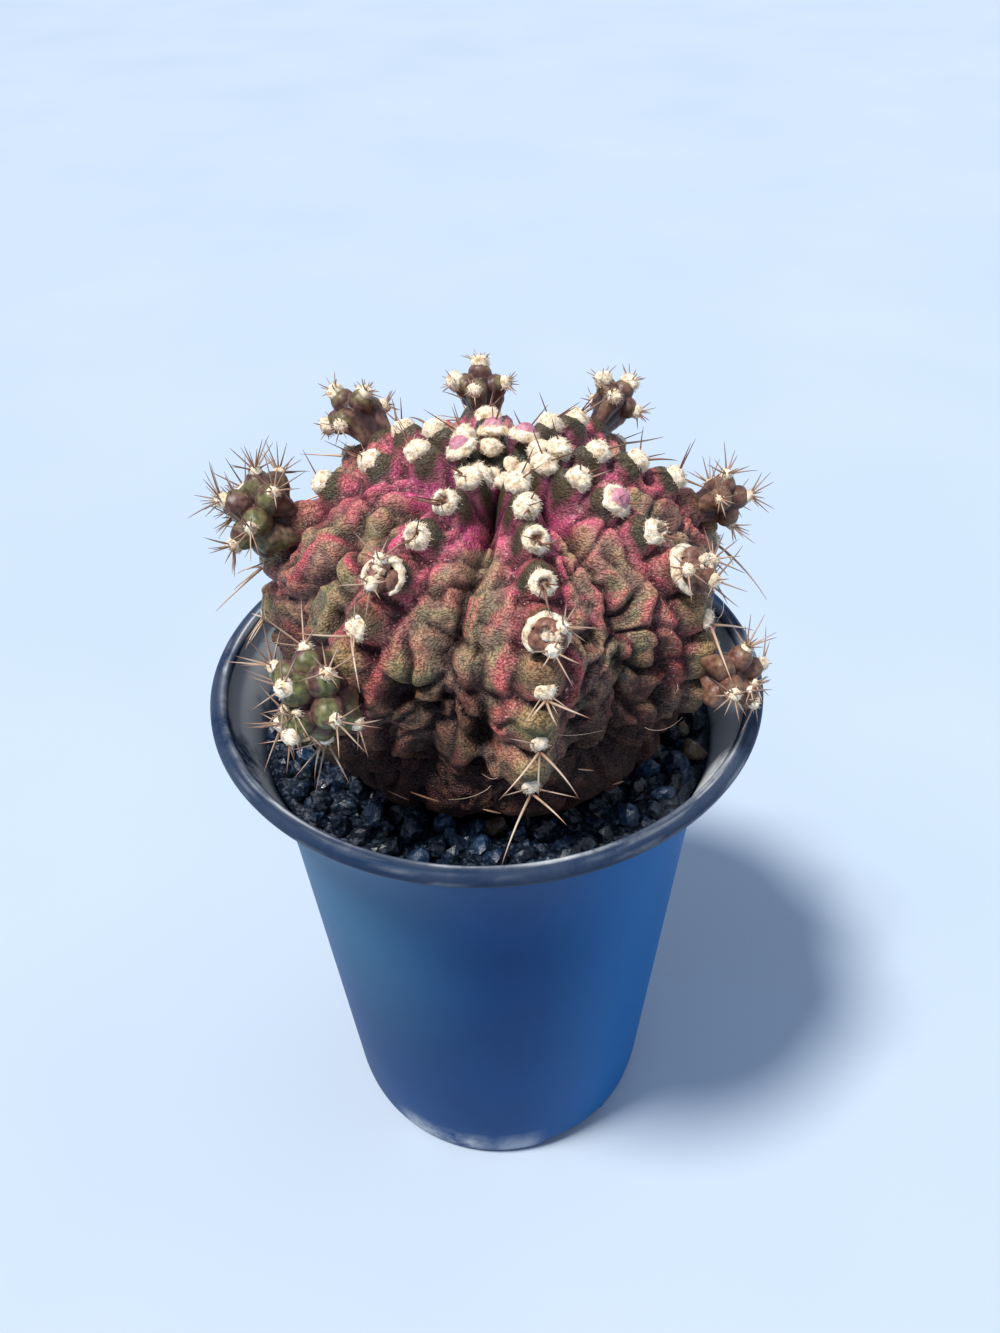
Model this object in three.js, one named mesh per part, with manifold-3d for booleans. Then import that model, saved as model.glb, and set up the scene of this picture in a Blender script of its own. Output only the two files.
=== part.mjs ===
// A chin cactus with offsets, standing in a tall plastic nursery pot with a black gravel top dressing.
// Millimetres, +Z up. The origin is the centre of the pot's foot, on the surface the pot stands on.
// The plant's front, the side seen in a front view, faces -Y.

import * as THREE from "three";
import { mergeVertices } from "three/addons/utils/BufferGeometryUtils.js";
import Module from "manifold-3d";

const wasm = await Module();
wasm.setup();

// Driving sizes, in millimetres and degrees

const gap = 0.35; // between neighbouring pieces

const pot = {
  height: 104,
  rimRadius: 44,
  footRadius: 28.8,
  wall: 1.3,
  floorUnderside: 3.4,
  floorThickness: 1.6,
  footWall: 2.2,
  sides: 40,
  notches: { first: -59, count: 3, width: 14, height: 3 },
  drains: { radius: 2.4, count: 6, ring: 15 },
};

const fill = { mixTop: 87, gravelTop: 94.6, stone: 3, stoneSpacing: 5.6, sides: 36 };

// Angles down a rib are polar: 0 at the crown, 90 at the widest level. A rib is its azimuth, how far it
// swings per 50 degrees down, its first areole's polar angle and how wide apart its areoles are set.
const plant = {
  centre: [1.2, 1, 113],
  radius: 36,
  rise: 30.5,
  drop: 24,
  power: 2.3,
  lean: [1.7, -2.4],
  crownDip: 5.5,
  ribs: [
    { azimuth: -78, sway: -5, first: 13.6, pace: 1 },
    { azimuth: -31, sway: 0, first: 11.5, pace: 1.08 },
    { azimuth: 8, sway: 4, first: 13.4, pace: 1.15 },
    { azimuth: 50, sway: 0, first: 9, pace: 1.25 },
    { azimuth: 97, sway: 0, first: 10, pace: 1.15 },
    { azimuth: 138, sway: 0, first: 11, pace: 1.15 },
    { azimuth: 173, sway: 4, first: 8.8, pace: 1.25 },
    { azimuth: 234.5, sway: -6, first: 13, pace: 1.1 },
  ],
  swayFrom: 50,
  step: 7.2,
  stepGrowth: 0.62,
  rows: 8,
  lastAreole: 98,
  crestDrop: [3.6, 4.6],
  valley: [5.5, 3, 4.4],
  tubercle: { wide: [3, 4.5], above: [4.6, 6.8], below: [2.9, 3.8] },
  lobes: { perRib: 4, height: 1.7 },
  fade: [100, 128],
  lattice: { perRib: 10, crown: 3, perRow: 3, under: 6, coarseness: 0.25 },
  wool: [2.3, 1.7],
  woolHeight: 1.5,
  tilt: 20,
  spine: { length: [5, 10.5], radius: 0.42, perRow: [0, 1, 1, 1, 2, 3, 3, 3] },
  rootRadius: 6,
  rootLength: 34,
};

// Offsets, each on the areole of a rib (counted round from the front one) and a row from the crown.
// Each is a small ball of finger-like tubercles. The last three are buds in the wool.
const offsets = [
  { name: "offset_front_left", rib: 7, row: 5, radius: 6.6, stalk: 3.4, fingers: 11, spine: 5.5 },
  { name: "offset_left", rib: 6, row: 4, radius: 6.8, stalk: 2.4, fingers: 11, spine: 5.5 },
  { name: "offset_right", rib: 2, row: 4, radius: 4.2, stalk: 2.6, fingers: 7, spine: 4 },
  { name: "offset_right_low", rib: 1, row: 6, radius: 5.2, stalk: 2.8, fingers: 8, spine: 4.5 },
  { name: "offset_back_left", rib: 5, row: 3, radius: 4.6, stalk: 4, fingers: 7, spine: 4 },
  { name: "offset_back", rib: 4, row: 2, radius: 4.2, stalk: 2.2, fingers: 7, spine: 4 },
  { name: "offset_back_right", rib: 3, row: 3, radius: 4, stalk: 3.8, fingers: 7, spine: 4 },
  { name: "bud_right", rib: 1, row: 4, radius: 3.3, stalk: 0.6, fingers: 6, spine: 3 },
  { name: "bud_left", rib: 7, row: 3, radius: 2.6, stalk: 0.8, fingers: 5, spine: 2.2 },
  { name: "bud_front", rib: 0, row: 4, radius: 2.6, stalk: 0.8, fingers: 5, spine: 2.2 },
];
const finger = { core: 0.58, spread: 34, wool: 0.16, spineRadius: 0.36, coarseness: 0.1 };

const flowerBuds = { radius: 1.2, places: [[1, 2], [3, 0], [4, 0], [6, 0]] };

// Materials

const paint = {
  pot: new THREE.MeshStandardMaterial({ color: 0x1f4c7c, roughness: 0.45, metalness: 0 }),
  mix: new THREE.MeshStandardMaterial({ color: 0x4a382a, roughness: 1, metalness: 0 }),
  gravel: new THREE.MeshStandardMaterial({ color: 0x171c26, roughness: 0.5, metalness: 0 }),
  skin: new THREE.MeshStandardMaterial({ color: 0x8a4f52, roughness: 0.75, metalness: 0 }),
  offset: new THREE.MeshStandardMaterial({ color: 0x565236, roughness: 0.7, metalness: 0 }),
};

// Small helpers

const rad = (degrees) => (degrees * Math.PI) / 180;
const mix = (a, b, t) => a + (b - a) * t;
const clamp01 = (x) => Math.min(1, Math.max(0, x));
const smooth = (from, to, x) => {
  const t = clamp01((x - from) / (to - from));
  return t * t * (3 - 2 * t);
};
// A fixed draw between 0 and 1 for a pair of numbers.
const draw = (a, b) => {
  const v = Math.sin(a * 127.1 + b * 311.7) * 43758.5453;
  return v - Math.floor(v);
};

// Solids

// A closed three.js geometry as a solid, with shared vertices merged and collapsed triangles left out.
function solidOf(geometry) {
  const bare = geometry.clone();
  bare.deleteAttribute("normal");
  bare.deleteAttribute("uv");
  const merged = mergeVertices(bare, 1e-4);
  const { array: index } = merged.index;
  const kept = [];
  for (let i = 0; i < index.length; i += 3) {
    const [a, b, c] = [index[i], index[i + 1], index[i + 2]];
    if (a !== b && b !== c && c !== a) kept.push(a, b, c);
  }
  const made = (corners) =>
    new wasm.Manifold(
      new wasm.Mesh({
        numProp: 3,
        vertProperties: merged.attributes.position.array,
        triVerts: new Uint32Array(corners),
      }),
    );
  const solid = made(kept);
  return solid.volume() > 0 ? solid : made(kept.reverse());
}

// A solid back as a three.js geometry. Only its largest body is kept, so no loose scrap stays.
function geometryOf(solid, coarseness = 0.02) {
  const bodies = solid.decompose().sort((a, b) => b.volume() - a.volume());
  const mesh = bodies[0].simplify(coarseness).getMesh();
  const geometry = new THREE.BufferGeometry();
  geometry.setAttribute("position", new THREE.BufferAttribute(mesh.vertProperties, 3));
  geometry.setIndex(new THREE.BufferAttribute(mesh.triVerts, 1));
  const flat = geometry.toNonIndexed();
  flat.computeVertexNormals();
  return flat;
}

const joined = (solids) => wasm.Manifold.union(solids);

// A lathe about the vertical axis through (x, y), from a list of [radius, height].
function turned(profile, sides, x = 0, y = 0) {
  const points = profile.map(([r, z]) => new THREE.Vector2(r, z));
  return solidOf(new THREE.LatheGeometry(points, sides).rotateX(Math.PI / 2).translate(x, y, 0));
}

// Pot

// The wall's height and radius outside, with the inner face at a given inset.
function potWall(inset, steps = 3) {
  const path = new THREE.Path();
  path.moveTo(pot.footRadius - inset, 0);
  path.quadraticCurveTo(pot.footRadius + 1.1 - inset, 1.2, pot.footRadius + 1.4 - inset, 6);
  path.lineTo(34.9 - inset, 74);
  path.quadraticCurveTo(36.4 - inset, 93, 42.2 - inset, pot.height - 3.4);
  return path.getPoints(steps).map((p) => [p.x, p.y]);
}

function potInnerRadius(z) {
  const wall = potWall(pot.wall);
  for (let i = 1; i < wall.length; i++) {
    const [r0, z0] = wall[i - 1];
    const [r1, z1] = wall[i];
    if (z <= z1) return mix(r0, r1, (z - z0) / (z1 - z0));
  }
  return wall[wall.length - 1][0];
}

const potFloor = pot.floorUnderside + pot.floorThickness;

function potGeometry() {
  const top = pot.height;
  const lip = [
    [pot.rimRadius - 0.5, top - 2.4],
    [pot.rimRadius, top - 1.4],
    [pot.rimRadius - 0.8, top],
    [pot.rimRadius - 2.2, top],
    [pot.rimRadius - 2.8, top - 0.9],
  ];
  const inside = potWall(pot.wall).filter(([, z]) => z > potFloor + 1).reverse();
  const profile = [
    [0, pot.floorUnderside],
    [pot.footRadius - pot.footWall, pot.floorUnderside],
    [pot.footRadius - pot.footWall, 0],
    ...potWall(0),
    ...lip,
    ...inside,
    [potInnerRadius(potFloor) - 0.6, potFloor],
    [0, potFloor],
  ];
  const { notches, drains } = pot;
  const cutters = [];
  for (let i = 0; i < notches.count; i++) {
    const box = new THREE.BoxGeometry(8, notches.width, notches.height * 2);
    box.translate(pot.footRadius - 0.5, 0, 0);
    cutters.push(solidOf(box.rotateZ(rad(notches.first + (360 * i) / notches.count))));
  }
  for (let i = 0; i <= drains.count; i++) {
    const hole = new THREE.CylinderGeometry(drains.radius, drains.radius, 12, 10).rotateX(Math.PI / 2);
    hole.translate(i ? drains.ring : 0, 0, pot.floorUnderside);
    cutters.push(solidOf(hole.rotateZ(rad((360 * i) / drains.count))));
  }
  return geometryOf(turned(profile, pot.sides).subtract(joined(cutters)));
}

// The rule for a head: a flattened ball with ribs, tubercles and skin lobes

// Radius and height of the outer surface at a polar angle, about the head's centre.
function outline(head, polar) {
  const s = Math.sin(rad(polar));
  const c = Math.cos(rad(polar));
  const reach = (Math.abs(s) ** head.power + Math.abs(c) ** head.power) ** (-1 / head.power);
  return [head.radius * reach * s, (c < 0 ? head.drop : head.rise) * reach * c];
}

// Outward direction of that surface, in the plane of its outline.
function outlineNormal(head, polar) {
  const [r, z] = outline(head, polar);
  const half = z < 0 ? head.drop : head.rise;
  const nr = Math.abs(r / head.radius) ** (head.power - 1) / head.radius;
  const nz = (Math.abs(z / half) ** (head.power - 1) / half) * Math.sign(z);
  const n = new THREE.Vector2(nr, nz).normalize();
  return [n.x, n.y];
}

const ribAzimuth = (head, rib, polar) => rib.azimuth + (rib.sway * (polar - head.swayFrom)) / 50;

function areolePolar(head, rib, row) {
  return rib.first + rib.pace * (head.step * row + head.stepGrowth * row * row);
}

// How many rows down a rib a polar angle is, as a real number.
function rowAt(head, rib, polar) {
  const under = head.step ** 2 + (4 * head.stepGrowth * (polar - rib.first)) / rib.pace;
  return (Math.sqrt(Math.max(0, under)) - head.step) / (2 * head.stepGrowth);
}

// The place where a rib number, whole on a crest and half in a valley, lies at a polar angle.
function azimuthAt(head, ribNumber, polar) {
  const count = head.ribs.length;
  const low = Math.floor(ribNumber);
  const crestAt = (number) => {
    const rib = head.ribs[((number % count) + count) % count];
    return ribAzimuth(head, rib, polar) + 360 * Math.floor(number / count);
  };
  return mix(crestAt(low), crestAt(low + 1), ribNumber - low);
}

// A point under the outer surface. The crown leans a little off the head's axis.
function pointAt(head, azimuth, polar, depth) {
  const [r, z] = outline(head, polar);
  const [nr, nz] = outlineNormal(head, polar);
  const out = r - nr * depth;
  const lean = Math.max(0, Math.cos(rad(polar))) ** 1.5;
  return new THREE.Vector3(
    out * Math.cos(rad(azimuth)) + head.lean[0] * lean,
    out * Math.sin(rad(azimuth)) + head.lean[1] * lean,
    z - nz * depth,
  );
}

// Every areole of a head: its place on the outer surface and the frame it stands in.
function areolesOf(head) {
  const found = [];
  head.ribs.forEach((rib, ribIndex) => {
    for (let row = 0; row < head.rows; row++) {
      const polar = areolePolar(head, rib, row);
      const azimuth = ribAzimuth(head, rib, polar);
      const place = pointAt(head, azimuth, polar, 0);
      const [nr, nz] = outlineNormal(head, polar);
      const outward = new THREE.Vector3(nr * Math.cos(rad(azimuth)), nr * Math.sin(rad(azimuth)), nz);
      const down = new THREE.Vector3(nz * Math.cos(rad(azimuth)), nz * Math.sin(rad(azimuth)), -nr);
      const side = new THREE.Vector3().crossVectors(down, outward);
      const facing = outward.clone().multiplyScalar(Math.cos(rad(head.tilt)));
      facing.addScaledVector(down, Math.sin(rad(head.tilt)));
      found.push({ ribIndex, row, polar, azimuth, place, outward, down, side, facing });
    }
  });
  return found;
}

// The nose-like tubercle under the nearest areole, from 0 on bare skin to 1 on its top. Older is wider.
function tubercleAt(head, areoles, point) {
  let best = 0;
  for (const a of areoles) {
    const to = point.clone().sub(a.place);
    if (to.lengthSq() > 160) continue;
    const old = smooth(30, 80, a.polar);
    const size = (key) => mix(head.tubercle[key][0], head.tubercle[key][1], old);
    const along = to.dot(a.down) + 0.6;
    const reach = Math.hypot(to.dot(a.side) / size("wide"), along / size(along > 0 ? "below" : "above"));
    best = Math.max(best, 1 - smooth(0.4, 1.2, reach));
  }
  return best;
}

// Skin lobes: cushions on a jittered lattice, from 0 in the creases between them to 1.
function lobeAt(head, ribNumber, row) {
  const perRound = head.lobes.perRib * head.ribs.length;
  const x = ribNumber * head.lobes.perRib;
  const y = row * 1.25 + 0.9 * Math.abs(ribNumber - Math.round(ribNumber));
  let near = 9;
  for (let i = -1; i <= 1; i++) {
    for (let j = -1; j <= 1; j++) {
      const [cx, cy] = [Math.floor(x) + i, Math.floor(y) + j];
      const column = ((cx % perRound) + perRound) % perRound;
      const px = cx + 0.5 + 0.55 * (draw(column, cy) - 0.5);
      const py = cy + 0.5 + 0.55 * (draw(column + 57, cy + 13) - 0.5);
      near = Math.min(near, Math.hypot(x - px, (y - py) * 0.8));
    }
  }
  return 1 - smooth(0.1, 0.75, near);
}

// How far the skin lies under the outer surface. Rib numbers are whole on a crest, half in a valley.
function skinDepth(head, areoles, ribNumber, polar) {
  const nearest = Math.round(ribNumber);
  const off = Math.abs(ribNumber - nearest) * 2;
  const azimuth = azimuthAt(head, ribNumber, polar);
  const tubercle = tubercleAt(head, areoles, pointAt(head, azimuth, polar, 0));
  const [nearCrown, onFlank, low] = head.valley;
  const valley = mix(mix(nearCrown, onFlank, smooth(16, 42, polar)), low, smooth(58, 84, polar));
  const round = off ** 2.4;
  const crest = mix(head.crestDrop[0], head.crestDrop[1], smooth(40, 80, polar));
  const rib = head.ribs[((nearest % head.ribs.length) + head.ribs.length) % head.ribs.length];
  const flank = smooth(0.14, 0.42, off) * smooth(14, 28, polar);
  const lobe = lobeAt(head, ribNumber, rowAt(head, rib, polar)) * flank;
  const relief = (crest - head.lobes.height * lobe) * (1 - tubercle) + valley * round * (1 - 0.5 * tubercle);
  const crown = 1 - smooth(2, 12, polar);
  return mix(relief, head.crownDip, crown) * (1 - smooth(head.fade[0], head.fade[1], polar));
}

// Polar angle of a lattice band. Bands keep step with the areoles of the ribs on either side.
function bandPolar(head, ribNumber, band) {
  const { crown, perRow, under } = head.lattice;
  const low = Math.floor(ribNumber);
  const polarAt = (row) =>
    mix(
      areolePolar(head, head.ribs[low % head.ribs.length], row),
      areolePolar(head, head.ribs[(low + 1) % head.ribs.length], row),
      ribNumber - low,
    );
  const last = head.rows - 1;
  const row = (band - crown) / perRow;
  if (row < 0) return (polarAt(0) * band) / crown;
  if (row > last) return mix(polarAt(last), 180, ((row - last) * perRow) / under);
  return polarAt(row);
}

// The head's skin as a closed mesh: a sphere's lattice carried onto the rule, closer set on the crests.
function headGeometry(head, areoles) {
  const { perRib, crown, perRow, under } = head.lattice;
  const bands = crown + perRow * (head.rows - 1) + under;
  const ball = new THREE.SphereGeometry(1, perRib * head.ribs.length, bands);
  const { uv, position } = ball.attributes;
  for (let i = 0; i < position.count; i++) {
    const band = Math.round((1 - uv.getY(i)) * bands);
    const even = ((uv.getX(i) + 1) % 1) * head.ribs.length;
    const off = even - Math.round(even);
    const ribNumber = Math.round(even) + (Math.sign(off) * Math.abs(2 * off) ** 1.35) / 2;
    const polar = bandPolar(head, (ribNumber + head.ribs.length) % head.ribs.length, band);
    const azimuth = azimuthAt(head, ribNumber, polar);
    const p = pointAt(head, azimuth, polar, skinDepth(head, areoles, ribNumber, polar));
    const pole = pointAt(head, 0, polar, skinDepth(head, areoles, 0, polar));
    if (band === 0 || band === bands) p.copy(pole);
    position.setXYZ(i, p.x, p.y, p.z);
  }
  return ball;
}

// A felt cushion standing on an areole.
function woolCushion(areole, radius, height) {
  const dome = new THREE.IcosahedronGeometry(1, 0).scale(radius, radius, height).rotateZ(areole.row);
  const turn = new THREE.Quaternion().setFromUnitVectors(new THREE.Vector3(0, 0, 1), areole.facing);
  const seat = areole.place;
  return solidOf(dome.applyQuaternion(turn).translate(seat.x, seat.y, seat.z));
}

// Spine directions at an areole: they fan out sideways and down, a few degrees clear of the skin.
function spineDirections(areole, count) {
  const fan = [];
  for (let i = 0; i < count; i++) {
    const share = count > 1 ? i / (count - 1) - 0.5 : draw(areole.ribIndex, areole.row) - 0.5;
    const turn = rad(150 * share + 30 * (draw(areole.ribIndex * 9 + i, areole.row) - 0.5));
    const lean = rad(36 + 30 * draw(areole.row * 5 + i, areole.ribIndex + 3));
    fan.push(
      areole.facing.clone().multiplyScalar(Math.cos(lean))
        .addScaledVector(areole.down, Math.sin(lean) * Math.cos(turn))
        .addScaledVector(areole.side, Math.sin(lean) * Math.sin(turn))
        .normalize(),
    );
  }
  return fan;
}

function spineSolid(root, direction, length, radius) {
  const cone = new THREE.ConeGeometry(radius, length, 3).translate(0, length / 2, 0);
  const turn = new THREE.Quaternion().setFromUnitVectors(new THREE.Vector3(0, 1, 0), direction);
  return solidOf(cone.applyQuaternion(turn).translate(root.x, root.y, root.z));
}

// Main body

const centre = new THREE.Vector3(...plant.centre);
const areoles = areolesOf(plant);
const areoleOn = (rib, row) => areoles.find((a) => a.ribIndex === rib && a.row === row);
for (const offset of offsets) {
  offset.axis = areoleOn(offset.rib, offset.row).facing;
  offset.place = areoleOn(offset.rib, offset.row).place.clone().addScaledVector(offset.axis, offset.stalk);
}

// A spine ends above the gravel, short of the pot and clear of every offset but its own.
function spineIsClear(root, tip, own = null) {
  return [0.25, 0.5, 0.75, 1].every((t) => {
    const p = root.clone().lerp(tip, t);
    const height = p.z + centre.z;
    const fromAxis = Math.hypot(p.x + centre.x, p.y + centre.y);
    const room = height < pot.height + 2 ? 36.5 : pot.rimRadius - 0.8;
    if (height < fill.gravelTop + 3 || fromAxis > room) return false;
    return offsets.every((o) => o === own || o.place.distanceTo(p) > o.radius + 1.4);
  });
}

function plantSolid() {
  const pieces = [solidOf(headGeometry(plant, areoles)).simplify(plant.lattice.coarseness)];
  for (const a of areoles) {
    const taken = offsets.some((o) => o.rib === a.ribIndex && o.row === a.row);
    if (taken || a.polar > plant.lastAreole) continue;
    pieces.push(woolCushion(a, mix(...plant.wool, smooth(45, 85, a.polar)), plant.woolHeight));
    if (flowerBuds.places.some(([rib, row]) => rib === a.ribIndex && row === a.row)) {
      const bud = new THREE.IcosahedronGeometry(flowerBuds.radius, 0);
      const seat = a.place.clone().addScaledVector(a.facing, 1.2);
      pieces.push(solidOf(bud.translate(seat.x, seat.y, seat.z)));
      continue;
    }
    spineDirections(a, plant.spine.perRow[a.row]).forEach((direction, i) => {
      const grownLength = mix(...plant.spine.length, smooth(30, 80, a.polar));
      const length = grownLength * (0.85 + 0.3 * draw(a.row + i * 3, a.ribIndex));
      const tip = a.place.clone().addScaledVector(direction, length);
      if (!spineIsClear(a.place, tip)) return;
      pieces.push(spineSolid(a.place, direction, length, plant.spine.radius));
    });
  }
  const top = -plant.drop + 3;
  const end = top - plant.rootLength;
  const root = [
    [0, end],
    [1.2, end + 2],
    [plant.rootRadius * 0.55, end + 14],
    [plant.rootRadius, top - 4],
    [plant.rootRadius, top],
    [0, top],
  ];
  pieces.push(turned(root, 10));
  return joined(pieces);
}

// The plant's skin grown by the gap, to keep an offset clear of it.
function grownSkin() {
  const skin = mergeVertices(headGeometry(plant, areoles).deleteAttribute("uv").deleteAttribute("normal"));
  skin.computeVertexNormals();
  const { position: p, normal: n } = skin.attributes;
  const reach = gap + 0.15;
  for (let i = 0; i < p.count; i++) {
    p.setXYZ(i, p.getX(i) + n.getX(i) * reach, p.getY(i) + n.getY(i) * reach, p.getZ(i) + n.getZ(i) * reach);
  }
  return solidOf(skin).simplify(0.2);
}

// How far a point in the plant's frame stands out of its outer surface, near enough.
function heightOver(point) {
  const half = point.z < 0 ? plant.drop : plant.rise;
  const flat = Math.hypot(point.x - plant.lean[0] / 2, point.y - plant.lean[1] / 2) / plant.radius;
  const share = (flat ** plant.power + (Math.abs(point.z) / half) ** plant.power) ** (1 / plant.power);
  return (share - 1) * half;
}

// Offsets

// The directions of an offset's fingers in its own frame: a spiral from the crown to the sides.
function fingersOf(offset) {
  const found = [];
  for (let i = 0; i < offset.fingers; i++) {
    const polar = 18 + 92 * Math.sqrt(i / (offset.fingers - 1));
    const azimuth = 137.5 * i + 40 * draw(offset.rib, offset.row);
    const direction = new THREE.Vector3().setFromSphericalCoords(1, rad(polar), rad(azimuth));
    found.push(direction.applyAxisAngle(new THREE.Vector3(1, 0, 0), Math.PI / 2));
  }
  return found;
}

// Distance of the skin from an offset's centre in one direction.
function fingerReach(offset, fingers, direction) {
  let bulge = 0;
  for (const f of fingers) {
    const apart = (direction.angleTo(f) * 180) / Math.PI / finger.spread;
    bulge = Math.max(bulge, Math.sqrt(Math.max(0, 1 - apart ** 2)));
  }
  return offset.radius * mix(finger.core, 1, bulge);
}

// An offset's solid. Its tufts and spines are left off where they would meet what is already there.
function offsetSolid(offset, skin, neighbours) {
  const fingers = fingersOf(offset);
  const big = offset.radius > 5;
  const ball = new THREE.IcosahedronGeometry(1, big ? 3 : 2);
  const { position } = ball.attributes;
  for (let i = 0; i < position.count; i++) {
    const direction = new THREE.Vector3().fromBufferAttribute(position, i).normalize();
    direction.multiplyScalar(fingerReach(offset, fingers, direction));
    position.setXYZ(i, direction.x, direction.y, direction.z);
  }
  const { place: seat, axis } = offset;
  const turn = new THREE.Quaternion().setFromUnitVectors(new THREE.Vector3(0, 0, 1), axis);
  const neck = offset.radius * 0.42;
  const reach = offset.stalk + 3;
  const stalk = new THREE.CylinderGeometry(neck, neck, reach, 6).translate(0, -reach / 2, 0);
  const along = new THREE.Quaternion().setFromUnitVectors(new THREE.Vector3(0, 1, 0), axis);
  const flesh = joined([
    solidOf(ball.applyQuaternion(turn).translate(seat.x, seat.y, seat.z)),
    solidOf(stalk.applyQuaternion(along).translate(seat.x, seat.y, seat.z)),
  ]);
  const pieces = [flesh.subtract(skin).simplify(finger.coarseness)];
  fingers.forEach((own, i) => {
    const facing = own.clone().applyQuaternion(turn);
    const tip = seat.clone().addScaledVector(facing, offset.radius);
    if (heightOver(tip) < 1.6) return;
    const tuft = new THREE.OctahedronGeometry(offset.radius * finger.wool, 0);
    pieces.push(solidOf(tuft.translate(tip.x, tip.y, tip.z)));
    const side = new THREE.Vector3(draw(i, 1) - 0.5, draw(i, 2) - 0.5, draw(i, 3) - 0.5);
    side.cross(facing).normalize();
    for (const lean of big ? [-28, 28] : [20]) {
      const direction = facing.clone().applyAxisAngle(side, rad(lean));
      const end = tip.clone().addScaledVector(direction, offset.spine);
      const room = spineSolid(tip, direction, offset.spine + gap, finger.spineRadius + gap);
      const meets = neighbours.some((n) => n.intersect(room).volume() > 0);
      if (meets || heightOver(end) < 1 || !spineIsClear(tip, end, offset)) continue;
      pieces.push(spineSolid(tip, direction, offset.spine, finger.spineRadius));
    }
  });
  return joined(pieces);
}

// Growing medium

function mixGeometry() {
  const inside = potWall(pot.wall + gap).filter(([, z]) => z > potFloor + 2.5 && z < fill.mixTop - 0.5);
  const profile = [
    [0, potFloor + gap],
    [potInnerRadius(potFloor) - 1.2, potFloor + gap],
    ...inside,
    [potInnerRadius(fill.mixTop) - gap, fill.mixTop],
    [0, fill.mixTop],
  ];
  const rootTop = centre.z - plant.drop + 3;
  const socket = turned(
    [
      [0, rootTop - plant.rootLength - 1],
      [1.6, rootTop - plant.rootLength + 1.6],
      [plant.rootRadius * 0.55 + gap, rootTop - plant.rootLength + 14],
      [plant.rootRadius + gap, rootTop - 4],
      [plant.rootRadius + gap, fill.mixTop + 9],
      [0, fill.mixTop + 9],
    ],
    16,
    plant.centre[0],
    plant.centre[1],
  );
  return geometryOf(turned(profile, 48).subtract(socket));
}

// The top dressing: a ring of gravel with its stones standing out of it, round the plant's smooth base.
function gravelGeometry() {
  const base = fill.mixTop + gap;
  const [low, high] = [potInnerRadius(base) - gap, potInnerRadius(fill.gravelTop) - gap];
  const bed = turned([[0, base], [low, base], [high, fill.gravelTop], [0, fill.gravelTop]], fill.sides);
  const stones = [bed];
  const rings = Math.floor((high - 26) / (fill.stoneSpacing * 0.86));
  for (let ring = 0; ring <= rings; ring++) {
    const r = high - fill.stone * 1.02 - ring * fill.stoneSpacing * 0.86;
    const count = Math.round((2 * Math.PI * r) / fill.stoneSpacing);
    for (let i = 0; i < count; i++) {
      const turn = rad((360 * (i + 0.5 * (ring % 2) + 0.3 * draw(i, ring))) / count);
      const size = fill.stone * (0.82 + 0.22 * draw(ring, i));
      const grain = new THREE.OctahedronGeometry(size, 0);
      grain.scale(1, 0.8 + 0.2 * draw(i, 7), 0.7);
      grain.rotateZ(6 * draw(i, ring + 3)).rotateX(0.6 * draw(i + 5, ring));
      const out = r - 0.5 * draw(i + 11, ring);
      const height = fill.gravelTop + 0.5 * (draw(i, ring + 9) - 0.6);
      stones.push(solidOf(grain.translate(out * Math.cos(turn), out * Math.sin(turn), height)));
    }
  }
  // The seat follows the plant's smooth underside, one gap away, then the root.
  const seat = [[0, base - 5], [plant.rootRadius + gap + 0.2, base - 5]];
  for (let polar = 168; polar >= 118; polar -= 5) {
    const [r, z] = outline(plant, polar);
    const [nr, nz] = outlineNormal(plant, polar);
    const out = [r + nr * (gap + 0.15), z + nz * (gap + 0.15) + centre.z];
    if (out[0] > plant.rootRadius + gap + 1) seat.push(out);
  }
  seat.push([0, seat[seat.length - 1][1]]);
  const cut = turned(seat, 48, plant.centre[0], plant.centre[1]);
  return geometryOf(joined(stones).subtract(cut), 0.15);
}

// Assembly

const potted = new THREE.Group();

function place(name, geometry, material, parent = potted) {
  const mesh = new THREE.Mesh(geometry, material);
  mesh.name = name;
  parent.add(mesh);
}

place("pot", potGeometry(), paint.pot);
place("potting_mix", mixGeometry(), paint.mix);
place("gravel_dressing", gravelGeometry(), paint.gravel);

const cactus = new THREE.Group();
cactus.position.copy(centre);
potted.add(cactus);
const built = [plantSolid()];
place("cactus_body", geometryOf(built[0], 0.1), paint.skin, cactus);
const skin = grownSkin();
for (const offset of offsets) {
  const solid = offsetSolid(offset, skin, built);
  place(offset.name, geometryOf(solid, 0.08), paint.offset, cactus);
  built.push(solid);
}

export default potted;
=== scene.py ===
# A chin cactus with its offsets in a tall nursery pot: the looks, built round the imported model.
# Settings and sums are in millimetres, and turn into metres where a mesh is made.

import math
from functools import partial

import bmesh
import bpy
import numpy as np
from mathutils import Matrix, Vector


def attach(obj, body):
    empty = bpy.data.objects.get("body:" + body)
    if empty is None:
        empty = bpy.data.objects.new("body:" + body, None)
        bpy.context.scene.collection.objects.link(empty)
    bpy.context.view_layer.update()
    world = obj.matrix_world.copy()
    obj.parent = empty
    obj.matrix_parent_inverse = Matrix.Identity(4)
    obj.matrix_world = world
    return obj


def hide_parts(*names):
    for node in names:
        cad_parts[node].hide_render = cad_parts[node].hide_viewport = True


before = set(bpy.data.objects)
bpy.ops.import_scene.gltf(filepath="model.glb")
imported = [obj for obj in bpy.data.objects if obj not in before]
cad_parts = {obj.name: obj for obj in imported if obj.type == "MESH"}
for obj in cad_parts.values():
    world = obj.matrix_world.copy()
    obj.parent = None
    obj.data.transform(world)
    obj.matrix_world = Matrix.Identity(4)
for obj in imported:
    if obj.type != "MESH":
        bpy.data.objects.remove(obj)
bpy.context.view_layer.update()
metre = 0.001  # one millimetre
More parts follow.
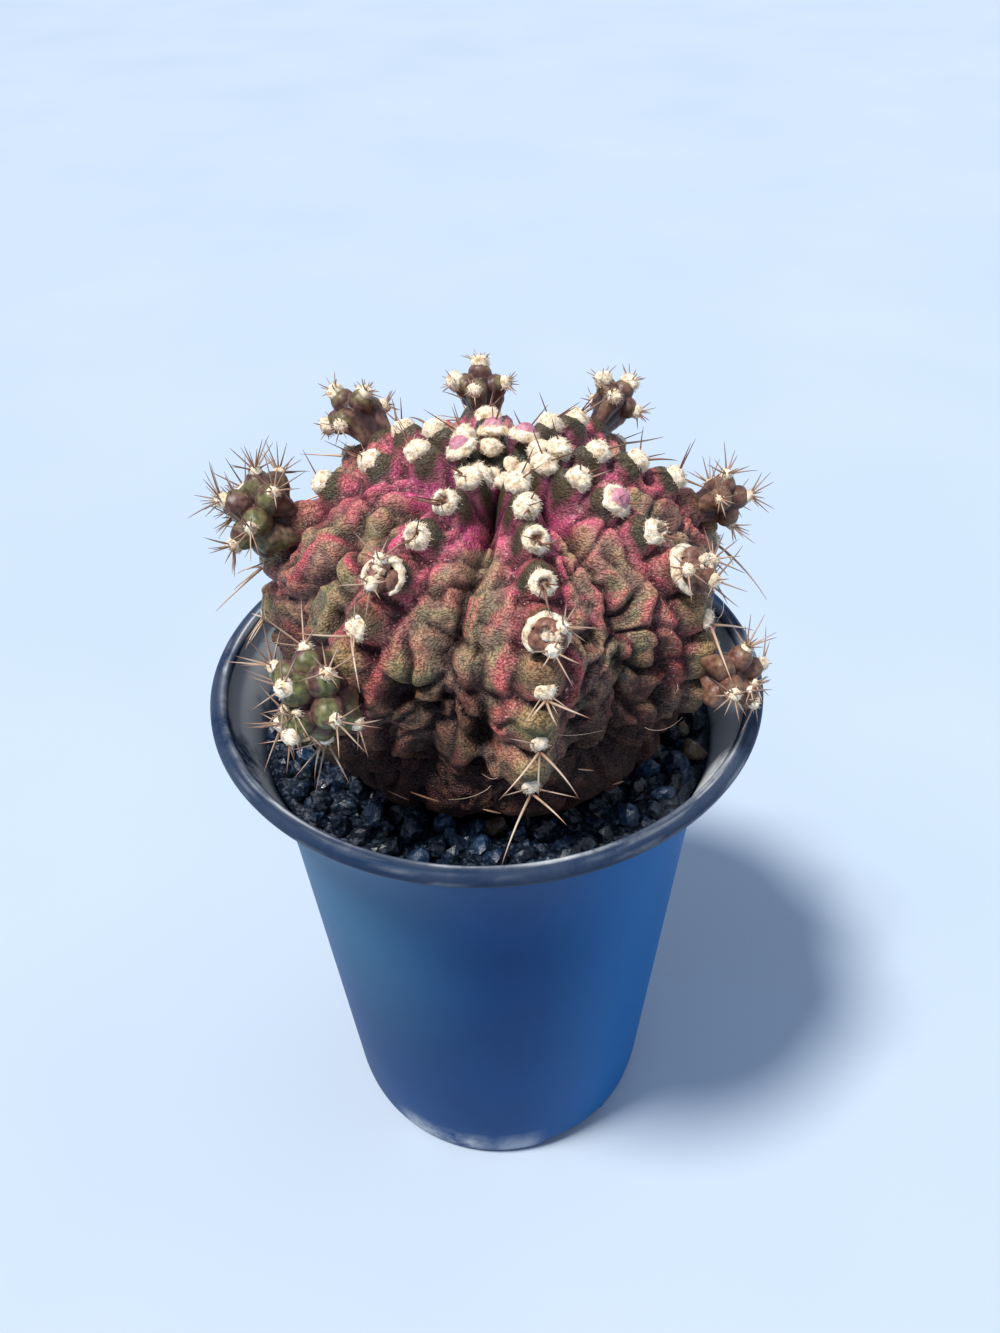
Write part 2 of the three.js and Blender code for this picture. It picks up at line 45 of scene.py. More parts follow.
goldenAngle = 137.5  # between one finger or young areole and the next, in degrees
print("frame loaded:", len(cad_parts), "nodes")


# Sums that every piece uses

def mix(a, b, t):
    return a + (b - a) * t


def smooth(low, high, x):
    t = np.clip((x - low) / (high - low), 0.0, 1.0)
    return t * t * (3 - 2 * t)


def draw(a, b):  # a fixed draw between 0 and 1 for a pair of numbers
    v = np.sin(np.asarray(a, float) * 127.1 + np.asarray(b, float) * 311.7) * 43758.5453
    return v - np.floor(v)


def pick(low, high, a, b):  # a fixed draw between two values
    return mix(low, high, float(draw(a, b)))


def stack(x, y, z):  # three fields as one field of points
    return np.stack(np.broadcast_arrays(x, y, z), axis=-1)


def mottle(points, size, seed=0):  # smooth noise from -1 to 1, its patches about size mm apart
    p = np.asarray(points, float) / size + 11.7 + 5.3 * seed
    cell = np.floor(p)
    f = p - cell
    f = f * f * (3 - 2 * f)
    total = 0.0
    for corner in np.ndindex(2, 2, 2):
        c = cell + np.array(corner)
        weight = np.prod(np.where(np.array(corner) == 1, f, 1 - f), axis=-1)
        total = total + weight * draw(c[..., 0] + 57.0 * c[..., 2], c[..., 1] + 113.0 * c[..., 2])
    return total * 2 - 1


def drawnOut(x, y, seed, z=0):  # the same noise, over fields that stretch it
    return mottle(stack(x, y, z), 1.0, seed)


def unit(v):
    return np.asarray(v, float) / np.linalg.norm(v)


# Meshes

def storeLayers(mesh, layers):
    for name, values in layers.items():
        layer = mesh.attributes.new(name, "FLOAT", "POINT")
        layer.data.foreach_set("value", np.asarray(values, np.float32))


def linked(name, data):
    thing = bpy.data.objects.new(name, data)
    bpy.context.scene.collection.objects.link(thing)
    return thing


def meshPiece(name, points, faces, layers=None, finish=None, edges=()):
    mesh = bpy.data.meshes.new(name)
    mesh.from_pydata((np.asarray(points, float) * metre).tolist(), edges, faces)
    mesh.polygons.foreach_set("use_smooth", [True] * len(mesh.polygons))
    storeLayers(mesh, layers or {})
    if finish:
        mesh.materials.append(finish)
    return linked(name, mesh)


def gridFaces(rows, columns, first=0):  # the quads of a lattice whose columns close round
    r = np.arange(rows - 1)[:, None] * columns + first
    c = np.arange(columns)[None, :]
    n = (c + 1) % columns
    quads = np.stack([r + c, r + columns + c, r + columns + n, r + n], axis=-1)
    return quads.reshape(-1, 4).tolist()


def emptied(shape):  # a bmesh's points and faces, and the end of the bmesh
    shape.verts.index_update()
    points = np.array([v.co[:] for v in shape.verts])
    faces = [[v.index for v in f.verts] for f in shape.faces]
    shape.free()
    return points, faces


def ball(subdivisions):  # an even ball of radius 1
    shape = bmesh.new()
    bmesh.ops.create_icosphere(shape, subdivisions=subdivisions, radius=1)
    directions, faces = emptied(shape)
    return directions / np.linalg.norm(directions, axis=1)[:, None], faces


def settle(piece, modifier):  # keeps what a modifier makes as the piece's own mesh
    evaluated = piece.evaluated_get(bpy.context.evaluated_depsgraph_get())
    mesh = bpy.data.meshes.new_from_object(evaluated)
    piece.modifiers.remove(modifier)
    piece.data = mesh
    return piece


def finishPiece(piece, nodes):
    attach(piece, "root")
    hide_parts(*nodes)
    piece.data.calc_loop_triangles()
    print(" ", piece.name, len(piece.data.loop_triangles), "triangles")


# Nodes, for materials and for modifiers alike

def hexColour(code):  # an sRGB hex value as linear red, green, blue and alpha
    parts = [int(code[i:i + 2], 16) / 255 for i in (1, 3, 5)]
    linear = [c / 12.92 if c <= 0.04045 else ((c + 0.055) / 1.055) ** 2.4 for c in parts]
    return (*linear, 1.0)


def perMm(size):  # the texture scale that repeats about every size millimetres
    return 1 / (size * metre)


def addNode(tree, kind, inputs=None, out=0, stops=None, **settings):  # gives back one of its outputs
    node = tree.nodes.new(kind)
    for name, value in settings.items():
        setattr(node, name, value)
    for socket, values in (inputs or {}).items():
        for value in values if isinstance(values, list) else [values]:
            if isinstance(value, bpy.types.NodeSocket):
                tree.links.new(value, node.inputs[socket])
            else:
                isHex = isinstance(value, str) and value.startswith("#")
                node.inputs[socket].default_value = hexColour(value) if isHex else value
    if stops:  # a ramp's places and colours
        ramp = node.color_ramp.elements
        while len(ramp) < len(stops):
            ramp.new(0.5)
        for element, (place, colour) in zip(ramp, stops.items()):
            element.position, element.color = place, hexColour(colour)
    return node.outputs[out] if node.outputs else None


# A bare material, what adds its nodes, the place on the piece, and the fields that it is painted by: the
# piece's own layers, and noises given by their size in millimetres, detail and roughness.
def newFinish(name, layers=(), **noises):
    material = bpy.data.materials.new(name)
    material.use_nodes = True
    material.node_tree.nodes.clear()
    add = partial(addNode, material.node_tree)
    place = add("ShaderNodeTexCoord", out="Object")
    fields = {n: add("ShaderNodeAttribute", out="Fac", attribute_name=n) for n in layers}
    for n, (size, detail, roughness) in noises.items():
        fields[n] = add("ShaderNodeTexNoise", {
            "Vector": place, "Scale": perMm(size), "Detail": detail, "Roughness": roughness})
    return material, add, place, fields


# Coats are (share, colour, how it mixes) over the first colour, and bumps are (height, strength, depth).
def endFinish(material, add, colour, coats, bumps, sockets):
    for share, coat, *how in coats:
        colour = add("ShaderNodeMix", {0: share, 6: colour, 7: coat}, 2, data_type="RGBA",
                     blend_type=how[0] if how else "MIX")
    normal = {}
    for height, strength, depth in bumps:
        normal["Normal"] = add("ShaderNodeBump", {
            "Height": height, "Strength": strength, "Distance": depth * metre, **normal})
    shader = add("ShaderNodeBsdfPrincipled", {"Base Color": colour, **normal, **sockets})
    add("ShaderNodeOutputMaterial", {"Surface": shader})
    return material


def newGrowth(name, sizes):  # a modifier tree, what adds its nodes, and its named inputs
    tree = bpy.data.node_groups.new(name, "GeometryNodeTree")
    for way in ("INPUT", "OUTPUT"):
        tree.interface.new_socket(name="Geometry", in_out=way, socket_type="NodeSocketGeometry")
    kinds = {int: "NodeSocketInt", float: "NodeSocketFloat"}
    for label, value in sizes.items():
        kind = kinds.get(type(value), "NodeSocketMaterial")
        tree.interface.new_socket(name=label, in_out="INPUT", socket_type=kind).default_value = value
    return tree, partial(addNode, tree), tree.nodes.new("NodeGroupInput").outputs


def endGrowth(add, geometry, finish):  # real meshes with their material, as the export needs
    real = add("GeometryNodeRealizeInstances", {"Geometry": geometry})
    painted = add("GeometryNodeSetMaterial", {"Geometry": real, "Material": finish})
    add("NodeGroupOutput", {"Geometry": painted})


def grow(piece, tree, sizes):  # runs a modifier tree on a piece and keeps the result as its mesh
    modifier = piece.modifiers.new("growth", "NODES")
    modifier.node_group = tree
    for item in tree.interface.items_tree:
        if item.in_out == "INPUT" and item.name in sizes:
            modifier[item.identifier] = sizes[item.name]
    return settle(piece, modifier)


# Materials

# Injection-moulded polypropylene, satin: a deep blue body with a fine moulded grain, darker at the lip.
# Painted light: a greyed teal sheen over the left of the wall, a brighter blue on its right, and a paler,
# greyer blue on the inside. Hard water has left pale scale inside the rim and at the foot.
def potPolypropylene():
    material, add, _, f = newFinish(
        "moulded polypropylene", ("lip", "inside", "scale", "bloom", "paintedLitSide"), cloud=(38, 3, 0.5),
        grit=(1.8, 5, 0.7), patch=(14, 3, 0.5), pebble=(0.45, 2, 0.5))
    body = add("ShaderNodeValToRGB", {"Fac": f["cloud"]}, stops={0.3: "#003468", 0.7: "#034480"})
    rough = add("ShaderNodeMath", {0: f["grit"], 1: 0.45, 2: f["patch"]}, operation="MULTIPLY_ADD")
    broken = add("ShaderNodeMapRange", {"Value": rough, "From Min": 0.5, "From Max": 0.8})
    scale = add("ShaderNodeMath", {0: f["scale"], 1: broken}, operation="MULTIPLY", use_clamp=True)
    gloss = add("ShaderNodeMapRange", {"Value": scale, "To Min": 0.42, "To Max": 0.85})
    # The first three coats are painted light: a brighter side, a sheen and a paler inside; the lip and the
    # scale are the plastic's own.
    coats = [(f["paintedLitSide"], "#0E70B4"), (f["bloom"], "#44748E"), (f["inside"], "#2A4666"),
             (f["lip"], "#1B2E4A"), (scale, "#CCD2D6")]
    return endFinish(material, add, body, coats, [(f["pebble"], 0.12, 0.05)], {
        "Roughness": gloss, "IOR": 1.49, "Specular IOR Level": 0.07, "Specular Tint": "#86B4E4"})


# Peat and pumice mix, milled: a matt brown crumb with pale grit, seen only through the drain holes.
def peatMix():
    material, add, place, _ = newFinish("milled peat and pumice")
    crumb = add("ShaderNodeTexVoronoi", {"Vector": place, "Scale": perMm(1.4)})
    colour = add("ShaderNodeValToRGB", {"Fac": crumb.node.outputs["Color"]},
                 stops={0.2: "#2A1E16", 0.75: "#4A382A", 0.95: "#9C8F7C"})
    return endFinish(material, add, colour, [], [(crumb, 0.8, 0.4)], {"Roughness": 0.95})


# Basalt grit, crushed: near-black blue grains, their facets glinting as if wet, with a little dust.
def basaltGrit():
    material, add, _, f = newFinish("crushed basalt grit", ["tint"], dust=(0.7, 4, 0.5), pits=(0.5, 4, 0.5))
    body = add("ShaderNodeValToRGB", {"Fac": f["tint"]}, stops={
        0.0: "#050A13", 0.5: "#0A1829", 0.8: "#132741", 0.965: "#1F3855", 0.975: "#4A3828", 1.0: "#7A6A50"})
    film = add("ShaderNodeMapRange", {"Value": f["dust"], "From Min": 0.52, "From Max": 0.8, "To Max": 0.5})
    gloss = add("ShaderNodeMapRange", {"Value": f["dust"], "From Min": 0.3, "From Max": 0.7, "To Min": 0.2,
                                       "To Max": 0.6})
    return endFinish(material, add, body, [(film, "#687F9A")], [(f["pits"], 0.6, 0.15)],
                     {"Roughness": gloss, "IOR": 1.55})


# Cactus epidermis, papillose: matt and velvety, brown-olive on the lobes and magenta to salmon on the
# ribs, with a dark green collar over each areole and brown cork at the base. Painted shade darkens the
# low furrows, the hollows and the gaps between the grains, and turns the creases near-black burgundy;
# painted highlights lighten the ridges and glint as pale specks on the flushed skin.
def velvetSkin():
    material, add, place, f = newFinish(
        "velvety cactus skin", ("age", "blush", "collar", "olive", "creaseShade", "cork", "shade", "ridgeLight"),
        broad=(6, 3, 0.5), fine=(1.3, 5, 0.65), sway=(2.2, 1, 0.5), bark=(3.2, 6, 0.7), fleck=(0.42, 2, 0.5))
    # The papillae are rounded grains about half a millimetre wide, in wavy rows that lie level.
    swayed = add("ShaderNodeVectorMath", {0: f["sway"].node.outputs["Color"], 1: (1.3 * metre,) * 3,
                                          2: place}, operation="MULTIPLY_ADD")
    level = add("ShaderNodeMapping", {"Vector": swayed, "Scale": (1.0, 1.0, 1.7)})
    grain = add("ShaderNodeTexVoronoi", {"Vector": level, "Scale": perMm(0.42)})
    ridge = add("ShaderNodeMapRange", {"Value": grain, "From Min": 0.9, "From Max": 0.3},
                interpolation_type="SMOOTHSTEP")
    # Painted shade: the gaps between the grains are darkened.
    gap = add("ShaderNodeMath", {0: 1.0, 1: ridge}, operation="SUBTRACT")
    base = add("ShaderNodeValToRGB", {"Fac": f["broad"]}, stops={
        0.3: "#754F4A", 0.42: "#9A7F70", 0.54: "#8E876A", 0.64: "#A37C70", 0.76: "#7C5A52"})
    rose = add("ShaderNodeValToRGB", {"Fac": f["age"]}, stops={
        0.06: "#BC3290", 0.22: "#D04486", 0.4: "#CB4C6C", 0.62: "#B4545C", 0.85: "#8A4440"})
    bark = add("ShaderNodeValToRGB", {"Fac": f["bark"]}, stops={
        0.34: "#281618", 0.47: "#4A2C28", 0.57: "#684034", 0.67: "#927A60"})
    patchy = add("ShaderNodeMapRange", {"Value": f["fine"], "From Min": 0.3, "From Max": 0.62,
                                        "To Min": 0.35})
    flushed = add("ShaderNodeMath", {0: f["blush"], 1: patchy}, operation="MULTIPLY", use_clamp=True)
    # Painted glints: pale specks lighten the flushed skin alone.
    fleck = add("ShaderNodeMapRange", {"Value": f["fleck"], "From Min": 0.64, "From Max": 0.7})
    bare = add("ShaderNodeMath", {0: flushed, 1: f["collar"]}, operation="SUBTRACT", use_clamp=True)
    glint = add("ShaderNodeMath", {0: fleck, 1: bare}, operation="MULTIPLY", use_clamp=True)
    # Among the coats, the shade, the creases, the pale ridges, the darkened gaps and the glints are painted
    # shade and light.
    coats = [(f["olive"], "#7F885A"), (flushed, rose), (f["cork"], bark), (f["collar"], "#313E2B"),
             (f["shade"], "#5A3238", "MULTIPLY"), (f["creaseShade"], "#2A0C14"),
             (f["ridgeLight"], "#F0DCD0", "SOFT_LIGHT"), (gap, "#BCA3A0", "MULTIPLY"), (glint, "#F0BCB4")]
    # Young skin near the crown is smooth, and it coarsens down the ribs.
    coarse = add("ShaderNodeMapRange", {"Value": f["age"], "From Min": 0.12, "From Max": 0.5, "To Min": 0.3,
                                        "To Max": 0.85})
    gloss = add("ShaderNodeMapRange", {"Value": ridge, "To Min": 0.68, "To Max": 0.29})
    return endFinish(material, add, base, coats, [(ridge, coarse, 0.21), (f["fine"], coarse, 0.6)],
                     {"Roughness": gloss, "IOR": 1.4})


# Young cactus epidermis, waxy: olive-green crowns and purple-brown flanks, with a soft shine, and painted
# shade, near-black, deep between the fingers.
def waxySkin():
    material, add, _, f = newFinish("waxy offset skin", ("crown", "warm", "depth"), fine=(0.9, 4, 0.5))
    flank, green, brown = (
        add("ShaderNodeValToRGB", {"Fac": f["fine"]}, stops={0.35: dark, 0.65: pale})
        for dark, pale in (("#402726", "#6E4E4A"), ("#4C4F2C", "#7E8052"), ("#5E3A30", "#8E6654")))
    coats = [(f["crown"], green), (f["warm"], brown), (f["depth"], "#120A0C")]
    return endFinish(material, add, flank, coats, [(f["fine"], 0.35, 0.15)],
                     {"Roughness": 0.42, "IOR": 1.42})


# Areole wool, felted: cream fibres, whiter where fresh, with brown scars where flowers have been.
def areoleFelt():
    material, add, _, f = newFinish("areole felt", ["scar"], clump=(0.8, 4, 0.5))
    fibres = add("ShaderNodeValToRGB", {"Fac": f["clump"]}, stops={
        0.3: "#C2A27A", 0.44: "#ECD8B8", 0.6: "#FDF0DA"})
    return endFinish(material, add, fibres, [(f["scar"], "#5E3522")], [(f["clump"], 0.9, 0.3)],
                     {"Roughness": 0.95, "Sheen Weight": 0.3, "Sheen Roughness": 0.5})


# Cactus spine, horny and smooth: pale tan along the shaft, brown at the root and at the point.
def spineHorn():
    material, add, _, f = newFinish("spine horn", ("along", "dark"))
    pale = add("ShaderNodeValToRGB", {"Fac": f["along"]}, stops={
        0.0: "#7A4C34", 0.16: "#C4A284", 0.6: "#E0CAB2", 0.88: "#B08468", 1.0: "#4A281C"})
    brown = add("ShaderNodeValToRGB", {"Fac": f["along"]}, stops={
        0.0: "#5C3322", 0.3: "#7A4A34", 0.7: "#5A3426", 1.0: "#24130E"})
    return endFinish(material, add, pale, [(f["dark"], brown)], [], {"Roughness": 0.38, "IOR": 1.54})


# Flower bud scales, waxy: dusty pink with paler edges.
def budScale():
    material, add, _, f = newFinish("waxy bud scales", ["edge"], bloom=(0.6, 3, 0.5))
    pink = add("ShaderNodeValToRGB", {"Fac": f["bloom"]}, stops={0.35: "#A05A70", 0.65: "#CB8597"})
    return endFinish(material, add, pink, [(f["edge"], "#EBC3C9")], [], {"Roughness": 0.5})


finish = {
    "pot": potPolypropylene(), "mix": peatMix(), "grit": basaltGrit(), "skin": velvetSkin(),
    "offset": waxySkin(), "felt": areoleFelt(), "spine": spineHorn(), "bud": budScale(),
}
print("materials made:", len(finish))


# Growth trees

# Tapered strands: each chain of edges becomes a tube as thick as its own girth says.
tubes = {"Sides": 5, "Thickness": 1.0, "Finish": finish["spine"]}
tubeTree, add, given = newGrowth("tapered strands", tubes)
line = add("GeometryNodeMeshToCurve", {"Mesh": given["Geometry"]})
girth = add("GeometryNodeInputNamedAttribute", {"Name": "girth"}, data_type="FLOAT")
girth = add("ShaderNodeMath", {0: girth, 1: given["Thickness"]}, operation="MULTIPLY")
section = add("GeometryNodeCurvePrimitiveCircle", {"Resolution": given["Sides"], "Radius": 1.0})
tube = add("GeometryNodeCurveToMesh", {"Curve": line, "Profile Curve": section, "Scale": girth,
                                       "Fill Caps": True})
endGrowth(add, tube, given["Finish"])

# Felt: short crooked fibres standing on a cushion, most of them outwards.
felt = {"Fibres per square mm": 8.0, "Length": 0.34, "Thickness": 0.1, "Tilt": 1.9, "Seed": 4,
        "Finish": finish["felt"]}
feltTree, add, given = newGrowth("felt fibres", felt)
density = add("ShaderNodeMath", {0: given["Fibres per square mm"], 1: 1 / metre ** 2}, operation="MULTIPLY")
spots = add("GeometryNodeDistributePointsOnFaces", {"Mesh": given["Geometry"], "Density": density,
                                                    "Seed": given["Seed"]})
hair = add("GeometryNodeCurvePrimitiveLine", {"End": (0, 0, 1)})
hair = add("GeometryNodeResampleCurve", {"Curve": hair, "Count": 3})
along = add("GeometryNodeSplineParameter")
crook = add("ShaderNodeMath", {0: along, 1: 2.0}, operation="POWER")
crook = add("ShaderNodeCombineXYZ", {"X": crook})
hair = add("GeometryNodeSetPosition", {"Geometry": hair, "Offset": crook})
slim = add("ShaderNodeMath", {0: given["Thickness"], 1: given["Length"]}, operation="DIVIDE")
taper = add("ShaderNodeMapRange", {"Value": along, "To Min": 1.0, "To Max": 0.35})
slim = add("ShaderNodeMath", {0: slim, 1: taper}, operation="MULTIPLY")
section = add("GeometryNodeCurvePrimitiveCircle", {"Resolution": 3, "Radius": 0.5})
hair = add("GeometryNodeCurveToMesh", {"Curve": hair, "Profile Curve": section, "Scale": slim})
nudge = add("FunctionNodeRandomValue", {0: (-1, -1, -1), 1: (1, 1, 1), "Seed": given["Seed"]},
            data_type="FLOAT_VECTOR")
nudge = add("ShaderNodeVectorMath", {0: nudge, "Scale": given["Tilt"]}, operation="SCALE")
stand = add("ShaderNodeVectorMath", {0: spots.node.outputs["Normal"], 1: nudge}, operation="ADD")
turned = add("FunctionNodeAlignRotationToVector", {"Vector": stand}, axis="Z")
size = add("FunctionNodeRandomValue", {2: 0.5 * metre, 3: 1.2 * metre, "Seed": given["Seed"]}, 1,
           data_type="FLOAT")
size = add("ShaderNodeMath", {0: size, 1: given["Length"]}, operation="MULTIPLY")
fibres = add("GeometryNodeInstanceOnPoints", {"Points": spots, "Instance": hair, "Rotation": turned,
                                              "Scale": size})
both = add("GeometryNodeJoinGeometry", {0: [fibres, given["Geometry"]]})
endGrowth(add, both, given["Finish"])

# Grit: crushed grains on the bed's scattered points, each pushed out of round by noise.
grit = {"Size": 3.9, "Unevenness": 1.7, "Seed": 7, "Finish": finish["grit"]}
gritTree, add, given = newGrowth("scattered grit", grit)
grain = add("GeometryNodeMeshIcoSphere", {"Radius": 0.5, "Subdivisions": 2})
turned = add("FunctionNodeRandomValue", {0: (0, 0, 0), 1: (6.3, 6.3, 6.3), "Seed": given["Seed"]},
             data_type="FLOAT_VECTOR")
spread = add("FunctionNodeRandomValue", {0: (0.75, 0.62, 0.5), 1: (1.25, 1.0, 0.85),
                                         "Seed": given["Seed"]}, data_type="FLOAT_VECTOR")
size = add("ShaderNodeMath", {0: given["Size"], 1: metre}, operation="MULTIPLY")
spread = add("ShaderNodeVectorMath", {0: spread, "Scale": size}, operation="SCALE")
tint = add("FunctionNodeRandomValue", {2: 0.0, 3: 1.0, "Seed": given["Seed"]}, 1, data_type="FLOAT")
grains = add("GeometryNodeInstanceOnPoints", {"Points": given["Geometry"], "Instance": grain,
                                              "Rotation": turned, "Scale": spread})
grains = add("GeometryNodeStoreNamedAttribute", {"Geometry": grains, "Name": "tint", "Value": tint},
             data_type="FLOAT", domain="INSTANCE")
grains = add("GeometryNodeRealizeInstances", {"Geometry": grains})
lump = add("ShaderNodeTexNoise", {"Scale": perMm(2.4), "Detail": 1.0})
lift = add("ShaderNodeMath", {0: lump, 1: 2 * metre, 2: -metre}, operation="MULTIPLY_ADD")
lift = add("ShaderNodeMath", {0: lift, 1: given["Unevenness"]}, operation="MULTIPLY")
face = add("GeometryNodeInputNormal")
lift = add("ShaderNodeVectorMath", {0: face, "Scale": lift}, operation="SCALE")
grains = add("GeometryNodeSetPosition", {"Geometry": grains, "Offset": lift})
grains = add("GeometryNodeSetShadeSmooth", {"Geometry": grains, "Shade Smooth": False})
endGrowth(add, grains, given["Finish"])
print("growth trees made")


# Pot

pot = {
    "height": 104, "rimRadius": 44, "footRadius": 28.8, "wall": 1.3, "under": 3.4, "floor": 5.0,
    "footWall": 2.2, "sides": 160, "steps": 22,
    "foot": ((0, 0), (1.1, 1.2), (1.4, 6)),  # out from the foot's radius, and up
    "flare": ((34.9, 74), (36.4, 93), (42.2, 100.6)),
    # A shadow step under the lip, a rounded face and two fine mould rings: radius, and down from the top.
    "lip": ((42.5, 3.2), (43.3, 2.75), (43.75, 2.2), (44, 1.55), (43.95, 0.9), (43.7, 0.4), (43.3, 0.12),
            (42.95, 0.02), (42.8, 0.08), (42.6, 0.01), (42.35, 0), (42.2, 0.06), (42.0, 0.02),
            (41.7, 0.12), (41.4, 0.45), (41.2, 0.95), (41.1, 1.8)),
    "notches": 3, "notchAzimuth": -59, "notchWidth": 14, "notchHeight": 3,
    "drains": 7, "drainRadius": 2.4, "drainRing": 15, "scuffRadius": 41.95,
}


def curveBetween(a, bend, b, steps):
    t = np.linspace(0, 1, steps + 1)[:, None]
    return ((1 - t) ** 2 * np.array(a) + 2 * t * (1 - t) * np.array(bend) + t ** 2 * np.array(b)).tolist()


def wallLine(inset):  # radius and height up the wall
    foot = [(pot["footRadius"] - inset + r, z) for r, z in pot["foot"]]
    flare = [(r - inset, z) for r, z in pot["flare"]]
    low, high = curveBetween(*foot, pot["steps"] // 3), curveBetween(*flare, pot["steps"])
    straight = [tuple(mix(np.array(low[-1]), np.array(high[0]), t)) for t in np.linspace(0, 1, pot["steps"])]
    return low + straight[1:-1] + high


def wallRadius(inset, z):
    line = np.array(wallLine(inset))
    return np.interp(z, line[:, 1], line[:, 0])


def lathe(profile, sides):  # the points and faces of a profile turned round the upright axis
    shape, turns = bmesh.new(), [2 * math.pi * k / sides for k in range(sides)]
    spokes = [[shape.verts.new((r * math.cos(a), r * math.sin(a), z)) for r, z in profile] for a in turns]
    for one, two in zip(spokes, spokes[1:] + spokes[:1]):
        for i in range(len(profile) - 1):
            shape.faces.new((one[i], two[i], two[i + 1], one[i + 1]))
    bmesh.ops.remove_doubles(shape, verts=shape.verts, dist=1e-4)
    bmesh.ops.dissolve_degenerate(shape, edges=shape.edges, dist=1e-5)
    bmesh.ops.recalc_face_normals(shape, faces=shape.faces)
    return emptied(shape)


def makePot():
    under, floor, foot = pot["under"], pot["floor"], pot["footRadius"] - pot["footWall"]
    inside = [(r, z) for r, z in wallLine(pot["wall"]) if z > floor + 1.2][::-1]
    corner = wallRadius(pot["wall"], floor) - 0.6
    profile = [(0, under), (foot * 0.5, under), (foot, under), (foot, 0.25), (foot + 0.25, 0), *wallLine(0),
               *((r, pot["height"] - down) for r, down in pot["lip"]), *inside,
               (corner + 0.5, floor + 0.5), (corner, floor), (corner * 0.5, floor), (0, floor)]
    shell = meshPiece("pot_wall", *lathe(profile, pot["sides"]), finish=finish["pot"])
    cutters, toMetres = bmesh.new(), Matrix.Scale(metre, 4)
    for k in range(pot["notches"]):
        spin = Matrix.Rotation(math.radians(pot["notchAzimuth"] + 120 * k), 4, "Z")
        size = Matrix.Diagonal((8, pot["notchWidth"], pot["notchHeight"] * 2, 1))
        where = spin @ Matrix.Translation((pot["footRadius"] - 0.5, 0, 0)) @ size
        bmesh.ops.create_cube(cutters, matrix=toMetres @ where)
    for k in range(pot["drains"]):  # one in the middle, the others in a ring
        spin = Matrix.Rotation(math.radians(60 * k), 4, "Z")
        where = toMetres @ spin @ Matrix.Translation((pot["drainRing"] if k else 0, 0, under))
        bmesh.ops.create_cone(cutters, cap_ends=True, segments=28, radius1=pot["drainRadius"],
                              radius2=pot["drainRadius"], depth=12, matrix=where)
    mesh = bpy.data.meshes.new("pot_cutters")
    cutters.to_mesh(mesh)
    cutters.free()
    tool = linked("pot_cutters", mesh)
    cut = shell.modifiers.new("openings", "BOOLEAN")
    cut.operation, cut.object, cut.solver = "DIFFERENCE", tool, "EXACT"
    settle(shell, cut)
    bpy.data.objects.remove(tool)
    return shell


def paintPot(shell):
    co = np.zeros(len(shell.data.vertices) * 3)
    shell.data.vertices.foreach_get("co", co)
    p = co.reshape(-1, 3) / metre
    r, z = np.hypot(p[:, 0], p[:, 1]), p[:, 2]
    azimuth = np.degrees(np.arctan2(p[:, 1], p[:, 0]))
    # Painted light: the inner wall is also painted a paler, greyer blue than the same plastic outside.
    inside = 1.0 * ((r < wallRadius(0, z) - 0.65) & (z > 4.6) & (z < 102.9))

    def around(centre, spread):  # 1 at an azimuth, fading within spread degrees of it
        away = np.abs((azimuth - centre + 180) % 360 - 180)
        return 1 - smooth(spread * 0.35, spread, away)

    # Inside the rim the film of scale has run down the wall.
    film = inside * smooth(91, 97, z) * (0.4 + np.maximum(2.0 * around(-14, 75), 1.5 * around(190, 75)))
    film = film * (1.05 + 0.5 * drawnOut(azimuth / 6, z / 14, 28))
    # The inner edge of the lip is scuffed pale all the way round.
    scuffed = np.exp(-((r - pot["scuffRadius"]) / 0.4) ** 2)
    streaks = smooth(0.1, 0.7, drawnOut(azimuth / 9, r * 2.6, 27, z * 2.6))
    lip = smooth(101.4, 102.8, z) * (0.05 + 0.5 * scuffed * (0.5 + 0.8 * streaks) + 0.34 * streaks)
    lip = lip * (0.8 + 0.5 * mottle(p, 9, 3))
    foot = (1 - smooth(3, 10, z)) * smooth(0.3, 2, z) * np.maximum(
        around(-112, 24), 0.6 * np.maximum(around(-84, 12), around(60, 40)))
    # Painted sheen, greyed teal, over the left of the wall and faintly at its upper right.
    bloom = 0.04 + 0.62 * around(-160, 75) * smooth(20, 80, z) + 0.12 * around(-5, 60) * smooth(60, 96, z)
    # Painted light: the right side of the wall is a brighter blue.
    storeLayers(shell.data, {
        "inside": inside, "lip": smooth(100.4, 100.9, z) * (1 - inside),
        "scale": np.max([film, lip, foot], axis=0), "bloom": bloom * (1 - inside),
        "paintedLitSide": 0.62 * around(-18, 70) * (1 - inside)})


potWall = makePot()
paintPot(potWall)
finishPiece(potWall, ["pot"])
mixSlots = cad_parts["potting_mix"].data.materials
for slot in range(len(mixSlots)):
    mixSlots[slot] = finish["mix"]
print("pot made")


# Head: a flattened ball with ribs, tubercles and skin lobes, on the same rule as the solid

